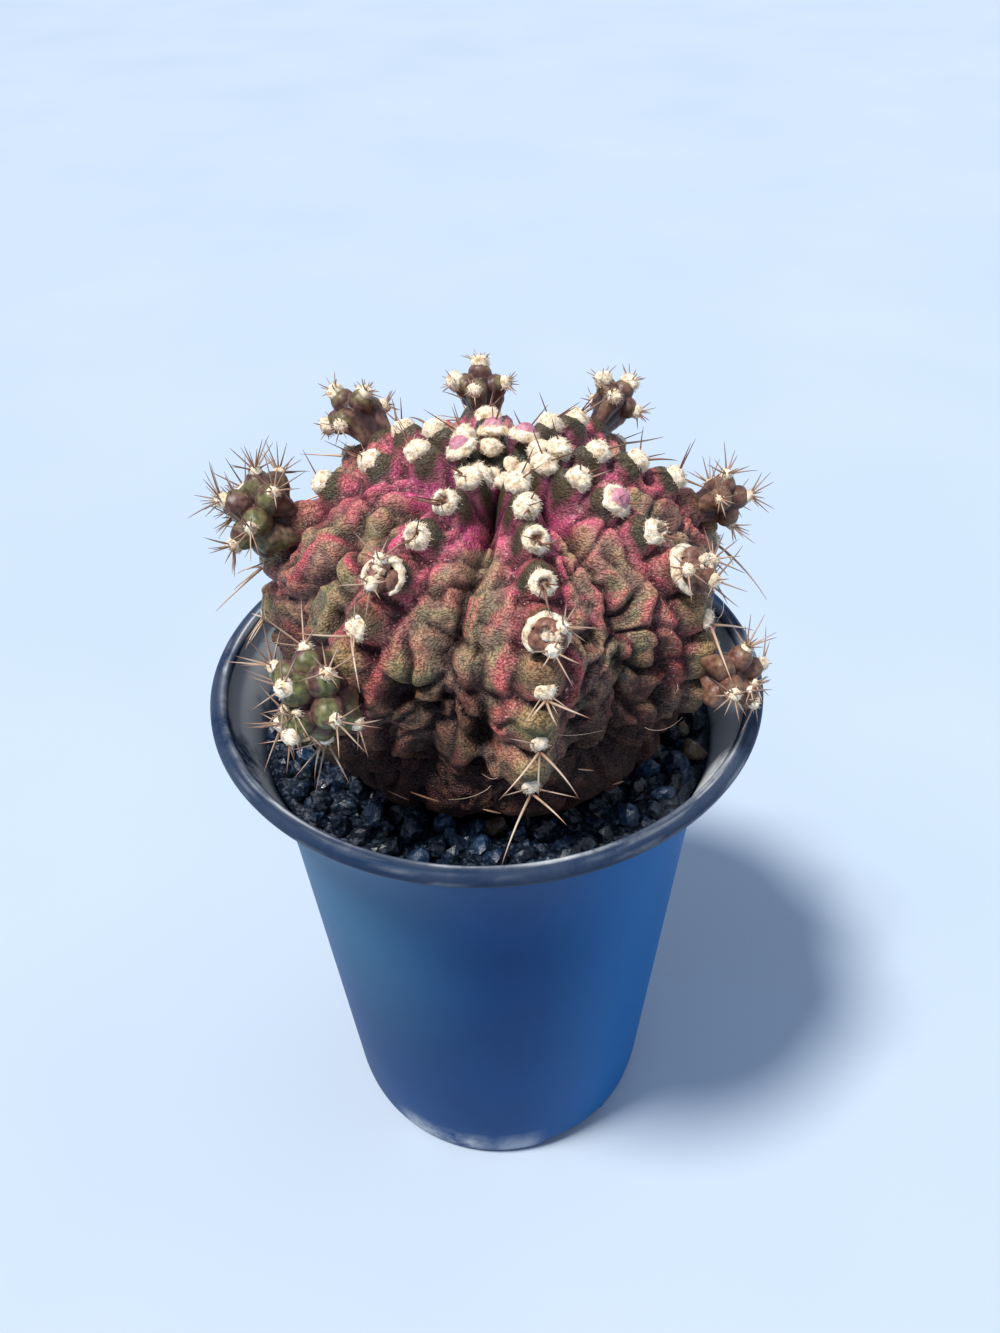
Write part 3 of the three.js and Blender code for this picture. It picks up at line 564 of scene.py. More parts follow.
head = {
    "centre": (1.2, 1, 113), "radius": 36, "rise": 30.5, "drop": 24, "power": 2.3, "lean": (1.7, -2.4),
    # For each rib: its azimuth and sway, its first areole and how fast the others follow, in degrees.
    "azimuth": (-78, -31, 8, 50, 97, 138, 173, 234.5), "sway": (-5, 0, 4, 0, 0, 0, 4, -6),
    "first": (13.6, 11.5, 13.4, 9, 10, 11, 8.8, 13), "pace": (1, 1.08, 1.15, 1.25, 1.15, 1.15, 1.25, 1.1),
    "swayFrom": 50, "step": 7.2, "stepGrowth": 0.62, "rows": 8, "lastAreole": 98, "tilt": 20,
    # The tubercles' reach, young and old, and the depth of crests and valleys under the outer surface.
    "wide": (3, 4.5), "above": (4.6, 6.8), "below": (2.9, 3.8), "areoleReach": 12.65,
    "crownDip": 5.5, "crest": (3.6, 4.6), "valley": (5.5, 3, 4.4), "fade": (100, 128),
    "lobesPerRib": 4, "lobeJitter": 0.55,
    "lobe": 1.35, "fold": 0.95, "hollow": 2.8, "seam": 0.75, "saddle": 0.9,
    "ruffles": ((0.36, 2.8, 4), (0.2, 1.2, 5), (0.1, 0.6, 17)),  # depth, size and seed
    "scurf": ((0.35, 2.2, 21), (0.4, 4.5, 22)), "wrinkle": 1.7,
    "root": ((6, 25.5), (5.4, 29), (3.3, 41), (2.0, 49), (1.2, 53)), "rootEnd": 55,  # radius and depth
    # The lattice that carries it: columns, and rows by their degrees from the crown.
    "columns": 416, "rowFrom": 0.9, "rowStep": 0.62, "fineTo": 112, "baseStep": 1.05, "soilLine": 139,
    "lowRows": 8, "lowEnd": 169,
}
ribCount = len(head["azimuth"])
ribs = {k: np.array(head[k], float) for k in ("azimuth", "sway", "first", "pace")}
headCentre = np.array(head["centre"], float)


def outline(polar):  # radius and height of the outer surface, at an angle from the crown
    s, c = np.sin(np.radians(polar)), np.cos(np.radians(polar))
    reach = (np.abs(s) ** head["power"] + np.abs(c) ** head["power"]) ** (-1 / head["power"])
    return head["radius"] * reach * s, np.where(c < 0, head["drop"], head["rise"]) * reach * c


def outlineNormal(polar):
    r, z = outline(polar)
    half = np.where(z < 0, head["drop"], head["rise"])
    nr = np.abs(r / head["radius"]) ** (head["power"] - 1) / head["radius"]
    nz = np.abs(z / half) ** (head["power"] - 1) / half * np.sign(z)
    length = np.hypot(nr, nz)
    return nr / length, nz / length


def crestAzimuth(number, polar):  # for whole rib numbers, which go on past one turn
    own = np.mod(number, ribCount)
    sway = ribs["sway"][own] * (polar - head["swayFrom"]) / 50
    return ribs["azimuth"][own] + sway + 360 * np.floor_divide(number, ribCount)


def azimuthAt(ribNumber, polar):  # also between two ribs
    low = np.floor(ribNumber).astype(int)
    return mix(crestAzimuth(low, polar), crestAzimuth(low + 1, polar), ribNumber - low)


def rowAt(rib, polar):  # the row of areoles at that height, with its fraction
    past = 4 * head["stepGrowth"] * (polar - ribs["first"][rib]) / ribs["pace"][rib]
    return (np.sqrt(np.maximum(0, head["step"] ** 2 + past)) - head["step"]) / (2 * head["stepGrowth"])


def pointAt(azimuth, polar, depth):
    r, z = outline(polar)
    nr, nz = outlineNormal(polar)
    out, turn = r - nr * depth, np.radians(azimuth)
    lean = np.maximum(0, np.cos(np.radians(polar))) ** 1.5
    return stack(out * np.cos(turn) + head["lean"][0] * lean, out * np.sin(turn) + head["lean"][1] * lean,
                 z - nz * depth)


def headAreoles():
    found, tilt = [], math.radians(head["tilt"])
    for rib, row in np.ndindex(ribCount, head["rows"]):
        polar = ribs["first"][rib] + ribs["pace"][rib] * (head["step"] * row + head["stepGrowth"] * row ** 2)
        azimuth = crestAzimuth(rib, polar)
        nr, nz = outlineNormal(polar)
        c, s = math.cos(math.radians(azimuth)), math.sin(math.radians(azimuth))
        outward, down = np.array([nr * c, nr * s, nz]), np.array([nz * c, nz * s, -nr])
        found.append({
            "rib": rib, "row": row, "polar": polar, "place": pointAt(azimuth, polar, 0.0), "down": down,
            "side": np.cross(down, outward), "facing": outward * math.cos(tilt) + down * math.sin(tilt)})
    return found


areoles = headAreoles()


def areoleOn(rib, row):
    return next(a for a in areoles if a["rib"] == rib and a["row"] == row)


def lobes(ribNumber, row):  # distances to the nearest and the next lobe's middle, in cells
    x = ribNumber * head["lobesPerRib"]
    y = row * 1.25 + 0.9 * np.abs(ribNumber - np.round(ribNumber))
    near, after = np.full(x.shape, 9.0), np.full(x.shape, 9.0)
    for i, j in np.ndindex(3, 3):
        cx, cy = np.floor(x) + i - 1, np.floor(y) + j - 1
        column = np.mod(cx, head["lobesPerRib"] * ribCount)
        px = cx + 0.5 + head["lobeJitter"] * (draw(column, cy) - 0.5)
        py = cy + 0.5 + head["lobeJitter"] * (draw(column + 57, cy + 13) - 0.5)
        away = np.hypot(x - px, (y - py) * 0.8)
        after = np.minimum(after, np.maximum(near, away))
        near = np.minimum(near, away)
    return near, after


def blurred(field, reach):  # the mean over a square of the lattice's cells
    field = sum(np.roll(field, i, axis=1) for i in range(-reach, reach + 1)) / (2 * reach + 1)
    padded = np.pad(field, ((reach, reach), (0, 0)), mode="edge")
    return np.mean([padded[i:i + len(field)] for i in range(2 * reach + 1)], axis=0)


# What the areoles do to the skin round them, each a field from 0 to 1, by the distance in millimetres.
def areoleMarks(outer):
    marks = {n: np.zeros(outer.shape[:2]) for n in ("tubercle", "collar", "olive", "under", "hollow")}
    for a in areoles:
        to = outer - a["place"]
        near = np.einsum("ijk,ijk->ij", to, to) < head["areoleReach"] ** 2
        across, along = to[near] @ a["side"], to[near] @ a["down"] + 0.6
        old, young = smooth(30, 80, a["polar"]), 1 - smooth(48, 72, a["polar"])
        ragged = 0.5 * mottle(outer[near], 1.2, 11)
        length = np.where(along > 0, mix(*head["below"], old), mix(*head["above"], old))
        reach = np.hypot(across / mix(*head["wide"], old), along / length)
        away = np.hypot(across, along * 0.9) + 0.6 * ragged
        spread = np.hypot(across / mix(4.8, 3.9, old), (along + mix(3.4, 2.4, old)) / mix(4.6, 3.1, old))
        # Below a young areole the saddle is flushed; an old one has a fold all round its lower side.
        saddle = (1 - smooth(1.2, 2.8, np.abs(along - 4.4) + ragged)) * (1 - smooth(2.6, 4.4, np.abs(across)))
        fold = np.abs(np.hypot(across / 5.2, (along + 0.6) / 5.4) - 1) + 0.12 * ragged
        fold = (1 - smooth(0.1, 0.32, fold)) * smooth(-6.5, -3.5, along)
        hollow = 0.55 * (1 - smooth(0.3, 1.0, np.hypot(across / 2.9, (along - 2.7) / 1.3))) * old
        for hand in (-1, 1):
            deep = smooth(0.2, 0.8, draw(a["rib"] * 2 + hand, a["row"] + 20)) * smooth(35, 62, a["polar"])
            pit = np.hypot((across * hand - 7.4) / 2.6, (along - 1.8) / 3.6) + 0.25 * ragged
            hollow = np.maximum(hollow, (1 - smooth(0.25, 1.0, pit)) * deep)
        own = {
            "tubercle": 1 - smooth(0.4, 1.2, reach),
            "collar": (1 - smooth(2.5, 3.5, away)) * smooth(2.2, 0.4, along) * mix(0.4, 0.95, young),
            "olive": (1 - smooth(0.55, 1.15, spread + 0.2 * ragged)) * mix(0.9, 0.2, young),
            "under": mix(saddle, fold, smooth(0.35, 0.7, old)), "hollow": hollow}
        for name, values in own.items():
            marks[name][near] = np.maximum(marks[name][near], values)
    return marks


def skinFields(polar, ribNumber):  # how deep the skin lies under the outer surface, and its layers
    def past(low, high):  # rises from 0 to 1 between two angles from the crown
        return smooth(low, high, polar)

    outer = pointAt(azimuthAt(ribNumber, polar), polar, 0.0)
    nearest = np.round(ribNumber).astype(int)
    off = np.abs(ribNumber - nearest) * 2  # 0 on a rib's crest to 1 in the furrow
    row = rowAt(np.mod(nearest, ribCount), polar)
    drift = [mottle(outer, size, seed) for size, seed in ((7, 1), (7, 2), (3, 12), (3, 13))]
    flank = smooth(0.14, 0.42, off) * past(14, 28)
    tubercle, collar, olive, under, hollow = areoleMarks(outer).values()

    # The skin bulges in lobes between the ribs, and grooves split them apart in places.
    near, after = lobes(ribNumber + 0.13 * drift[0] + 0.05 * drift[2], row + 0.55 * drift[1] + 0.2 * drift[3])
    groove = (1 - smooth(0.0, 0.3, after - near)) * (0.2 + 0.8 * smooth(-0.35, 0.45, mottle(outer, 6.5, 14)))
    lobe = 1.05 * (1 - smooth(0.1, 0.8, near)) - 0.5 * groove
    # Thin raised seams wander down the flanks where the skin has torn and healed.
    seam = np.abs(drawnOut(ribNumber * 2.6 + 0.4 * drift[0], row * 0.8 + 0.4 * drift[1], 15))
    seam = (1 - smooth(0.02, 0.11, seam)) * smooth(0.25, 0.5, off)
    seam = seam * smooth(-0.05, 0.35, mottle(outer, 8, 16)) * past(30, 44)
    # Long folds run down the flanks, two to three millimetres apart, and shorter ones cross them.
    fold = np.abs(drawnOut(ribNumber * 11 + 1.3 * drift[0] + 0.7 * drift[2], polar / 17 + 0.9 * drift[1], 19))
    cross = np.abs(drawnOut(ribNumber * 5 + drift[1], polar / 5.5 + 1.2 * drift[0], 20))
    fold = 0.78 * (1 - 2.2 * fold) + 0.36 * (1 - 2.2 * cross)
    # Under the ribs the old skin has shrunk into upright wrinkles down to the grit.
    wrinkle = drawnOut(ribNumber * 8 + drift[0] + 0.6 * drift[2], polar / 24 + 0.6 * drift[1], 24)
    wrinkle = 0.65 * np.abs(wrinkle) + 0.35 * np.abs(mottle(outer, 2.6, 25))
    atBase = past(96, 108) * (1 - past(136, 141))

    young, middle, aged = head["valley"]
    valley = mix(mix(young, middle, past(16, 42)), aged, past(58, 84))
    grown = 1 + 0.45 * past(50, 66) * (1 - past(92, 104))
    depth = (mix(*head["crest"], past(40, 80)) - head["lobe"] * lobe * flank * grown) * (1 - tubercle)
    depth = depth + valley * off ** 2.4 * (1 - 0.5 * tubercle) + head["hollow"] * hollow
    depth = depth - head["seam"] * seam * flank - head["saddle"] * under * past(56, 66) * (1 - past(96, 108))
    depth = depth - head["fold"] * fold * flank * (1 - 0.8 * tubercle)
    depth = mix(depth, head["crownDip"], 1 - past(2, 12))
    ruffle = sum(deep * mottle(outer, size, seed) for deep, size, seed in head["ruffles"])
    ruffle = ruffle * mix(0.45, 1, past(14, 46)) * past(3, 12)
    depth = (depth + ruffle * (0.4 + 0.6 * flank) * (1 - 0.5 * tubercle)) * (1 - past(*head["fade"]))
    scurf = sum(deep * (1 + mottle(outer, size, seed)) for deep, size, seed in head["scurf"])
    depth = depth + scurf * past(92, 102) * (1 - past(136, 141))
    depth = depth + head["wrinkle"] * (1 - smooth(0.0, 0.45, wrinkle)) * atBase

    # Painted shade and highlight: hollows no wider than a millimetre or two are painted dark, and the ridges
    # between them painted pale.
    cavity = (depth - blurred(depth, 2)) * 1.6 + (depth - blurred(depth, 5)) * 0.7
    soft = mottle(outer, 6, 6)
    fromCrest = off * math.pi * outline(polar)[0] / ribCount  # in millimetres
    # Near the crown the sides of the ribs are flushed too, in slanting bands.
    bands = smooth(-0.25, 0.35, drawnOut(ribNumber * 5, row * 1.3 + off * 1.6, 18))
    streaks = smooth(0.45, 0.8, fold) * smooth(0.0, 0.45, mottle(outer, 7, 23)) * flank
    blush = np.max([
        (1 - smooth(3.0, 5.6, fromCrest)) * (0.88 + 0.45 * soft) * (1 - past(62, 86)),
        0.95 * bands * (1 - past(22, 46)), under * (1 - 0.7 * past(72, 98)),
        0.95 * seam * (1 - past(84, 98)), 0.7 * streaks * (1 - past(80, 102))], axis=0)
    shade = np.max([
        0.75 * smooth(56, 80, polar + 5 * soft) * smooth(0.12, 0.5, off) * (1 - 0.7 * under),
        0.85 * smooth(3.6, 7.2, depth) * (0.3 + 0.7 * past(24, 52)), 0.42 * past(88, 100)], axis=0)
    # Painted shade, near-black burgundy: in the grooves, the furrows near the crown, the hollows, under the
    # folds, in the wrinkles at the base and in the small hollows.
    creaseShade = np.max([
        0.6 * groove * flank, 0.55 * smooth(0.86, 1.0, off) * (1 - past(22, 46)), 1.1 * hollow,
        0.5 * smooth(0.15, -0.55, fold) * flank * past(20, 40),
        0.85 * (1 - smooth(0.04, 0.24, wrinkle)) * atBase,
        0.8 * smooth(0.15, 0.85, cavity) * (1 - collar)], axis=0)
    green = olive * (1 - 0.6 * past(72, 90)) + 0.4 * smooth(0.1, 0.7, mottle(outer, 8, 9)) * flank
    return depth, {
        "age": polar / 110, "blush": np.clip(blush, 0, 1) * (1 - 0.85 * olive), "collar": collar,
        "olive": np.clip(green, 0, 1), "creaseShade": np.clip(creaseShade, 0, 1), "shade": np.clip(shade, 0, 0.95),
        "ridgeLight": smooth(0.1, 0.6, -cavity), "cork": 0.9 * smooth(84, 106, polar + 6 * soft)}


def headSkin():
    fine = np.arange(head["rowFrom"], head["fineTo"], head["rowStep"])
    base = np.arange(fine[-1] + 1, head["soilLine"], head["baseStep"])
    polars = np.concatenate([fine, base, np.linspace(base[-1] + 3, head["lowEnd"], head["lowRows"])])
    columns = head["columns"]
    numbers = np.arange(columns) * ribCount / columns
    polar, ribNumber = np.meshgrid(polars, numbers, indexing="ij")
    depth, layers = skinFields(polar, ribNumber)
    skin = pointAt(azimuthAt(ribNumber, polar), polar, depth)
    # The crown closes in one point, and the root hangs under the last ring.
    angle = np.radians(azimuthAt(numbers, polars[-1]))
    rings = []
    for r, down in head["root"]:
        rough = r * (1 + 0.06 * np.sin(3 * angle - down))
        rings.append(stack(rough * np.cos(angle), rough * np.sin(angle), -down))
    ends = [pointAt(0.0, 0.0, head["crownDip"]), (0, 0, -head["rootEnd"])]
    points = np.concatenate([skin.reshape(-1, 3), *rings, ends]) + headCentre
    rows = len(polars) + len(rings)
    faces, crown, tip = gridFaces(rows, columns), rows * columns, rows * columns + 1
    for k in range(columns):
        n, low = (k + 1) % columns, (rows - 1) * columns
        faces += [[crown, k, n], [low + n, low + k, tip]]
    for name, values in layers.items():
        layers[name] = np.append(values, np.full(len(points) - values.size, values[-1, 0]))
        layers[name][crown] = values[0, 0]
    return meshPiece("cactus_skin", points, faces, layers, finish["skin"])


finishPiece(headSkin(), ["cactus_body"])
print("head skin made")


# Offsets: balls of finger-like tubercles on an areole of the head, and three buds in its wool

offsets = {
    "offset_front_left": (7, 5, 6.6, 3.4, 11, 0), "offset_left": (6, 4, 6.8, 2.4, 11, 0.1),
    "offset_right": (2, 4, 4.2, 2.6, 7, 0.7), "offset_right_low": (1, 6, 5.2, 2.8, 8, 0.8),
    "offset_back_left": (5, 3, 4.6, 4, 7, 0.25), "offset_back": (4, 2, 4.2, 2.2, 7, 0.3),
    "offset_back_right": (3, 3, 4, 3.8, 7, 0.4), "bud_right": (1, 4, 3.3, 0.6, 6, 0.9),
    "bud_left": (7, 3, 2.6, 0.8, 5, 1), "bud_front": (0, 4, 2.6, 0.8, 5, 1),
}  # rib, row, radius, stalk, fingers and how brown
fingers = {
    "big": (0.47, 38, 1.0), "small": (0.62, 40, 0.8), "bud": (0.7, 45, 0.5),  # core, spread and point
    "bigFrom": 5, "top": 18, "fan": 92, "clear": 1.2, "stalkSink": 2.5, "stalkSlim": 0.25,
    # Big ones have crowded tips in the middle too: how many, how far out they lean and how large.
    "middle": 4, "middleLean": 0.36, "middleReach": 0.74, "middleShare": 0.7,
    "uneven": ((0.16, 1.7), (0.09, 0.8), (0.04, 0.4)),  # depth and size
}


def turnTo(axis):  # the shortest turn from straight up to an axis, as a 3 by 3 array
    return np.array(Vector((0, 0, 1)).rotation_difference(Vector(axis)).to_matrix())


def planOffset(rib, row, radius, stalk, count, brown):
    seat, i = areoleOn(rib, row), np.arange(count)
    polar = np.radians(fingers["top"] + fingers["fan"] * np.sqrt(i / (count - 1)))
    azimuth = np.radians(goldenAngle * i + 40 * draw(rib, row))
    return {
        "rib": rib, "row": row, "radius": radius, "stalk": stalk, "brown": brown, "seat": seat,
        "isBig": radius > fingers["bigFrom"], "turn": turnTo(seat["facing"]),
        "centre": seat["place"] + seat["facing"] * stalk,
        "fingers": stack(np.sin(polar) * np.sin(azimuth), -np.sin(polar) * np.cos(azimuth), np.cos(polar))}


plans = {name: planOffset(*sizes) for name, sizes in offsets.items()}
taken = {(plan["rib"], plan["row"]) for plan in plans.values()}


def heightOver(point):  # how far a point in the head's frame stands out of its outer surface
    half = head["drop"] if point[2] < 0 else head["rise"]
    flat = math.hypot(point[0] - head["lean"][0] / 2, point[1] - head["lean"][1] / 2) / head["radius"]
    share = (flat ** head["power"] + (abs(point[2]) / half) ** head["power"]) ** (1 / head["power"])
    return (share - 1) * half


def starsOf(plan):  # the tips with wool and spines: every finger's in the open, and some in the middle
    found = [(plan["centre"] + plan["turn"] @ f * plan["radius"], plan["turn"] @ f, 1.0)
             for f in plan["fingers"]]
    lean, reach = fingers["middleLean"], plan["radius"] * fingers["middleReach"]
    for n in range(fingers["middle"] if plan["isBig"] else 0):
        angle = 2 * math.pi * (n + pick(0, 0.3, n, plan["row"])) / fingers["middle"]
        facing = plan["turn"] @ unit((lean * math.cos(angle), lean * math.sin(angle) - 0.1, 1))
        found.append((plan["centre"] + facing * reach, facing, fingers["middleShare"]))
    return [(i, *star) for i, star in enumerate(found) if heightOver(star[0]) >= fingers["clear"]]


def offsetFlesh(name):
    plan = plans[name]
    directions, faces = ball(6 if plan["isBig"] else 5)
    core, spread, point = fingers["bud" if "bud" in name else "big" if plan["isBig"] else "small"]
    nearest = np.degrees(np.arccos(np.clip(directions @ plan["fingers"].T, -1, 1))).min(axis=1) / spread
    bulge = np.maximum(0, 1 - nearest ** 2) ** point
    local = directions * (plan["radius"] * mix(core, 1, bulge))[:, None]
    # The stalk: the underside is drawn out to the areole that it grows from.
    back = smooth(-0.45, -0.95, directions[:, 2])
    local[:, 2] -= back * (plan["stalk"] + fingers["stalkSink"])
    local[:, :2] *= (1 - fingers["stalkSlim"] * back)[:, None]
    seeds = (plan["rib"], plan["rib"] + 1, 3)
    uneven = sum(deep * mottle(local, size, seed) for (deep, size), seed in zip(fingers["uneven"], seeds))
    local += uneven[:, None] * directions
    patches = smooth(-0.6, 0.25, mottle(local, 1.5, plan["rib"] + 30))
    return meshPiece(name + "_flesh", local @ plan["turn"].T + plan["centre"] + headCentre, faces, {
        "crown": smooth(1.0, 0.4, nearest) * (1 - back) * patches,
        "warm": np.full(len(local), plan["brown"]),
        # Painted shade: near-black deep between the fingers, less on the stalk.
        "depth": 0.8 * smooth(0.82, 1.15, nearest) * (1 - 0.65 * back)}, finish["offset"])


for name in offsets:
    finishPiece(offsetFlesh(name), [name])
print("offsets made")


# Wool: cushions on the areoles, whole near the crown, rings with a scar further down, small when old

wool = {
    "radius": (1.8, 1.35), "height": (1.6, 1.05), "around": 26, "up": 10, "seatDrop": 0.5,
    "ringRows": {0: (2, 3), 7: (1, 2), 1: (3,)}, "ringPit": 0.55,
    "flowers": ((1, 2), (3, 0), (4, 0), (6, 0)), "flowerPit": 0.7, "flowerSize": (1.25, 0.7),
    "crown": 9, "crownRadius": (0.9, 1.7),
    # Round a bud the wool stands in a crescent: half its sweep in degrees, its thickness, and its mesh.
    "sweep": 130, "thick": 0.62, "crescentSteps": 48, "crescentAround": 12,
    "crumbs": 7, "crumbRadius": (0.3, 0.62), "crumbReach": 0.84, "crumbStain": 0.25,
    # The tufts on fingertips: their share of the offset's radius, the least, and the larger ones.
    "tuft": 0.145, "smallTuft": 0.72, "topTuft": 1.3, "backTuft": 1.5, "tuftSink": 0.03,
}


# A tuft is its points, its scars, the rows and columns of its lattice and how many ends are closed.
def cushion(place, facing, radius, height, pit, seed, stain=0.0):
    around, up = np.meshgrid(np.linspace(0, 2 * math.pi, wool["around"], endpoint=False),
                             np.linspace(0, 1, wool["up"]))
    angle = (1 - up) * math.pi / 2 * 1.25
    flat = radius * np.sin(angle) ** 0.8
    z = height * np.cos(angle) - pit * height * (1 - smooth(0.2, 0.62, flat / radius))
    local = stack(flat * np.cos(around), flat * np.sin(around), z)
    bumpy = 1 + 0.16 * mottle(local + 31 * seed, 1.0, 2) + 0.12 * mottle(local + 31 * seed, 0.45, 3)
    local = local * bumpy[..., None]
    crumbs = smooth(-0.2, 0.3, mottle(local + 31 * seed, 0.55, 4))
    scar = min(1, pit * 2) * (1 - smooth(0.42, 0.62, flat / radius)) * (0.45 + 0.55 * crumbs)
    return local.reshape(-1, 3) @ turnTo(facing).T + place, scar.reshape(-1) + stain, up.shape, 1


def crescent(seat, radius, seed):
    steps, around = wool["crescentSteps"], wool["crescentAround"]
    t = np.linspace(-1, 1, steps)[:, None]
    u = np.linspace(0, 2 * math.pi, around, endpoint=False)[None, :]
    turn = np.radians(wool["sweep"] * t)
    size = wool["thick"] * np.maximum(0.08, np.sqrt(np.maximum(0, 1 - np.abs(t) ** 3)))
    lumps = stack(t * 8, np.cos(u), np.sin(u))
    size = size * (1 + 0.3 * mottle(lumps, 0.9, seed) + 0.2 * mottle(lumps, 0.4, seed + 1))
    away = -seat["down"] * np.cos(turn)[..., None] + seat["side"] * np.sin(turn)[..., None]
    out, lift = (radius + size * np.cos(u))[..., None], (0.35 + 1.25 * size * np.sin(u))[..., None]
    points = (seat["place"] + away * out + seat["facing"] * lift).reshape(-1, 3)
    return points, np.full(len(points), 0.1), (steps, around), 2


def woolPiece(name, tufts):
    faces, first = [], 0
    for points, _, (rows, columns), ends in tufts:
        ring = list(range(first, first + columns))
        faces += [f[::-1] for f in gridFaces(rows, columns, first)] + [ring[::-1]]
        if ends == 2:
            faces.append([(rows - 1) * columns + k for k in ring])
        first += len(points)
    points, scars = (np.concatenate([tuft[part] for tuft in tufts]) for part in (0, 1))
    return grow(meshPiece(name, points + headCentre, faces, {"scar": scars}), feltTree, felt)


def headWool():
    tufts = []
    for i, a in enumerate(areoles):
        spot = (a["rib"], a["row"])
        if a["polar"] > head["lastAreole"] or spot in taken:
            continue
        old = smooth(40, 78, a["polar"])
        radius, height, pit = mix(*wool["radius"], old), mix(*wool["height"], old), 0.0
        if a["row"] in wool["ringRows"].get(a["rib"], ()):
            pit = wool["ringPit"]
        if spot in wool["flowers"]:
            pit = wool["flowerPit"]
            radius, height = radius * wool["flowerSize"][0], height * wool["flowerSize"][1]
        place = a["place"] - a["facing"] * wool["seatDrop"]
        tufts.append(cushion(place, a["facing"], radius, height, pit, i))
    # The youngest areoles crowd the dip at the crown, with hardly any skin between them.
    for n in range(wool["crown"]):
        polar = 1.2 + 1.05 * n
        radius = mix(*wool["crownRadius"], n / (wool["crown"] - 1))
        place = pointAt(goldenAngle * n, polar, mix(head["crownDip"] - 0.6, 1.6, smooth(1, 10, polar)))
        facing = unit((0.1 * math.cos(n), 0.1 * math.sin(n), 1))
        tufts.append(cushion(place, facing, radius, radius, 0.0, 60 + n))
    return tufts


def offsetWool():
    tufts = []
    for k, (name, plan) in enumerate(plans.items()):
        seat, radius = plan["seat"], plan["radius"]
        if "bud" in name:  # the wool that the bud pushed aside, and crumbs of it on the bud
            tufts.append(crescent(seat, radius, k))
            for n in range(wool["crumbs"]):
                spot = seat["facing"] - seat["down"] * pick(0.15, 0.8, n, k)
                spot = unit(spot + seat["side"] * pick(-0.5, 0.5, n + 7, k + 2))
                size = pick(*wool["crumbRadius"], n + 3, k + 9) * (radius / 2.6) ** 0.5
                place = plan["centre"] + spot * radius * wool["crumbReach"]
                tufts.append(cushion(place, spot, size, size, 0.0, 400 + n + k, wool["crumbStain"]))
        for i, tip, facing, share in starsOf(plan):
            size = max(wool["smallTuft"], radius * wool["tuft"]) * (wool["topTuft"] if i < 3 else 1) * share
            size *= wool["backTuft"] if "back" in name else 1
            place = tip - facing * radius * wool["tuftSink"]
            tufts.append(cushion(place, facing, size, size * 0.95, 0.0, 100 + k * 20 + i))
    return tufts


finishPiece(woolPiece("areole_wool", headWool()), ["cactus_body"])
finishPiece(woolPiece("offset_wool", offsetWool()), list(offsets))
print("wool made")


# Spines: curved strands that fan out and down from the areoles, and in stars on the offsets' tips

spines = {
    "perRow": (0, 1, 1, 1, 2, 3, 3, 3), "length": (5, 10.5), "girth": 0.2, "bend": 0.5, "fan": 150,
    "short": {(0, 5): 0.55}, "fine": 3, "fineGirth": 0.11, "fineLength": (2.8, 6.0), "darkRows": 4,
    "sides": 6, "steps": 8, "fineSteps": 6, "tip": 0.02, "isDark": 0.85, "isPale": 0.1,
    # Stars on the offsets are sparse on the open ones, and smaller on small ones and at the back.
    "starGirth": 0.155, "starLength": (3.8, 7.6), "starCount": (5, 8), "denseCount": (8, 12),
    "denseShare": 0.8, "backShare": 0.62, "smallShare": 0.62, "fullRadius": 6.8, "starSides": 5,
    "open": ("offset_front_left", "bud_right", "bud_left", "bud_front"),
    # The room that they have: inside the rim, over it, above the grit and off the other offsets.
    "inRim": 36.5, "overRim": 1.2, "gritTop": 97.4, "apart": 0.8, "clear": 0.6,
}


def strand(root, direction, length, bend, girth, dark, steps):  # its path, girth, place along and darkness
    t = np.linspace(0, 1, steps)
    path = root + headCentre + direction * length * t[:, None] + bend * length * t[:, None] ** 2
    return path, girth * (1 - t) ** 0.75 + spines["tip"], t, np.full(steps, dark)


def strandPiece(name, strands, sides):
    points, girth, along, dark = (np.concatenate([s[part] for s in strands]) for part in range(4))
    starts = set(np.cumsum([len(s[0]) for s in strands]).tolist())
    edges = [(k - 1, k) for k in range(1, len(points)) if k not in starts]
    piece = meshPiece(name, points, [], {"girth": girth * metre, "along": along, "dark": dark}, edges=edges)
    return grow(piece, tubeTree, {**tubes, "Sides": sides})


def isClear(root, tip, own=None):  # above the grit, inside the rim and clear of the other offsets
    for t in (0.25, 0.5, 0.75, 1.0):
        p = mix(root, tip, t)
        x, y, z = p + headCentre
        room = spines["inRim"] if z < pot["height"] + 2 else pot["rimRadius"] + spines["overRim"]
        if z < spines["gritTop"] or math.hypot(x, y) > room:
            return False
        if any(name != own and np.linalg.norm(plan["centre"] - p) < plan["radius"] + spines["apart"]
               for name, plan in plans.items()):
            return False
    return True


def leaning(a, lean, turn):  # a direction leant from an areole's facing, its turn from straight down
    away = a["down"] * math.cos(turn) + a["side"] * math.sin(turn)
    return unit(a["facing"] * math.cos(lean) + away * math.sin(lean))


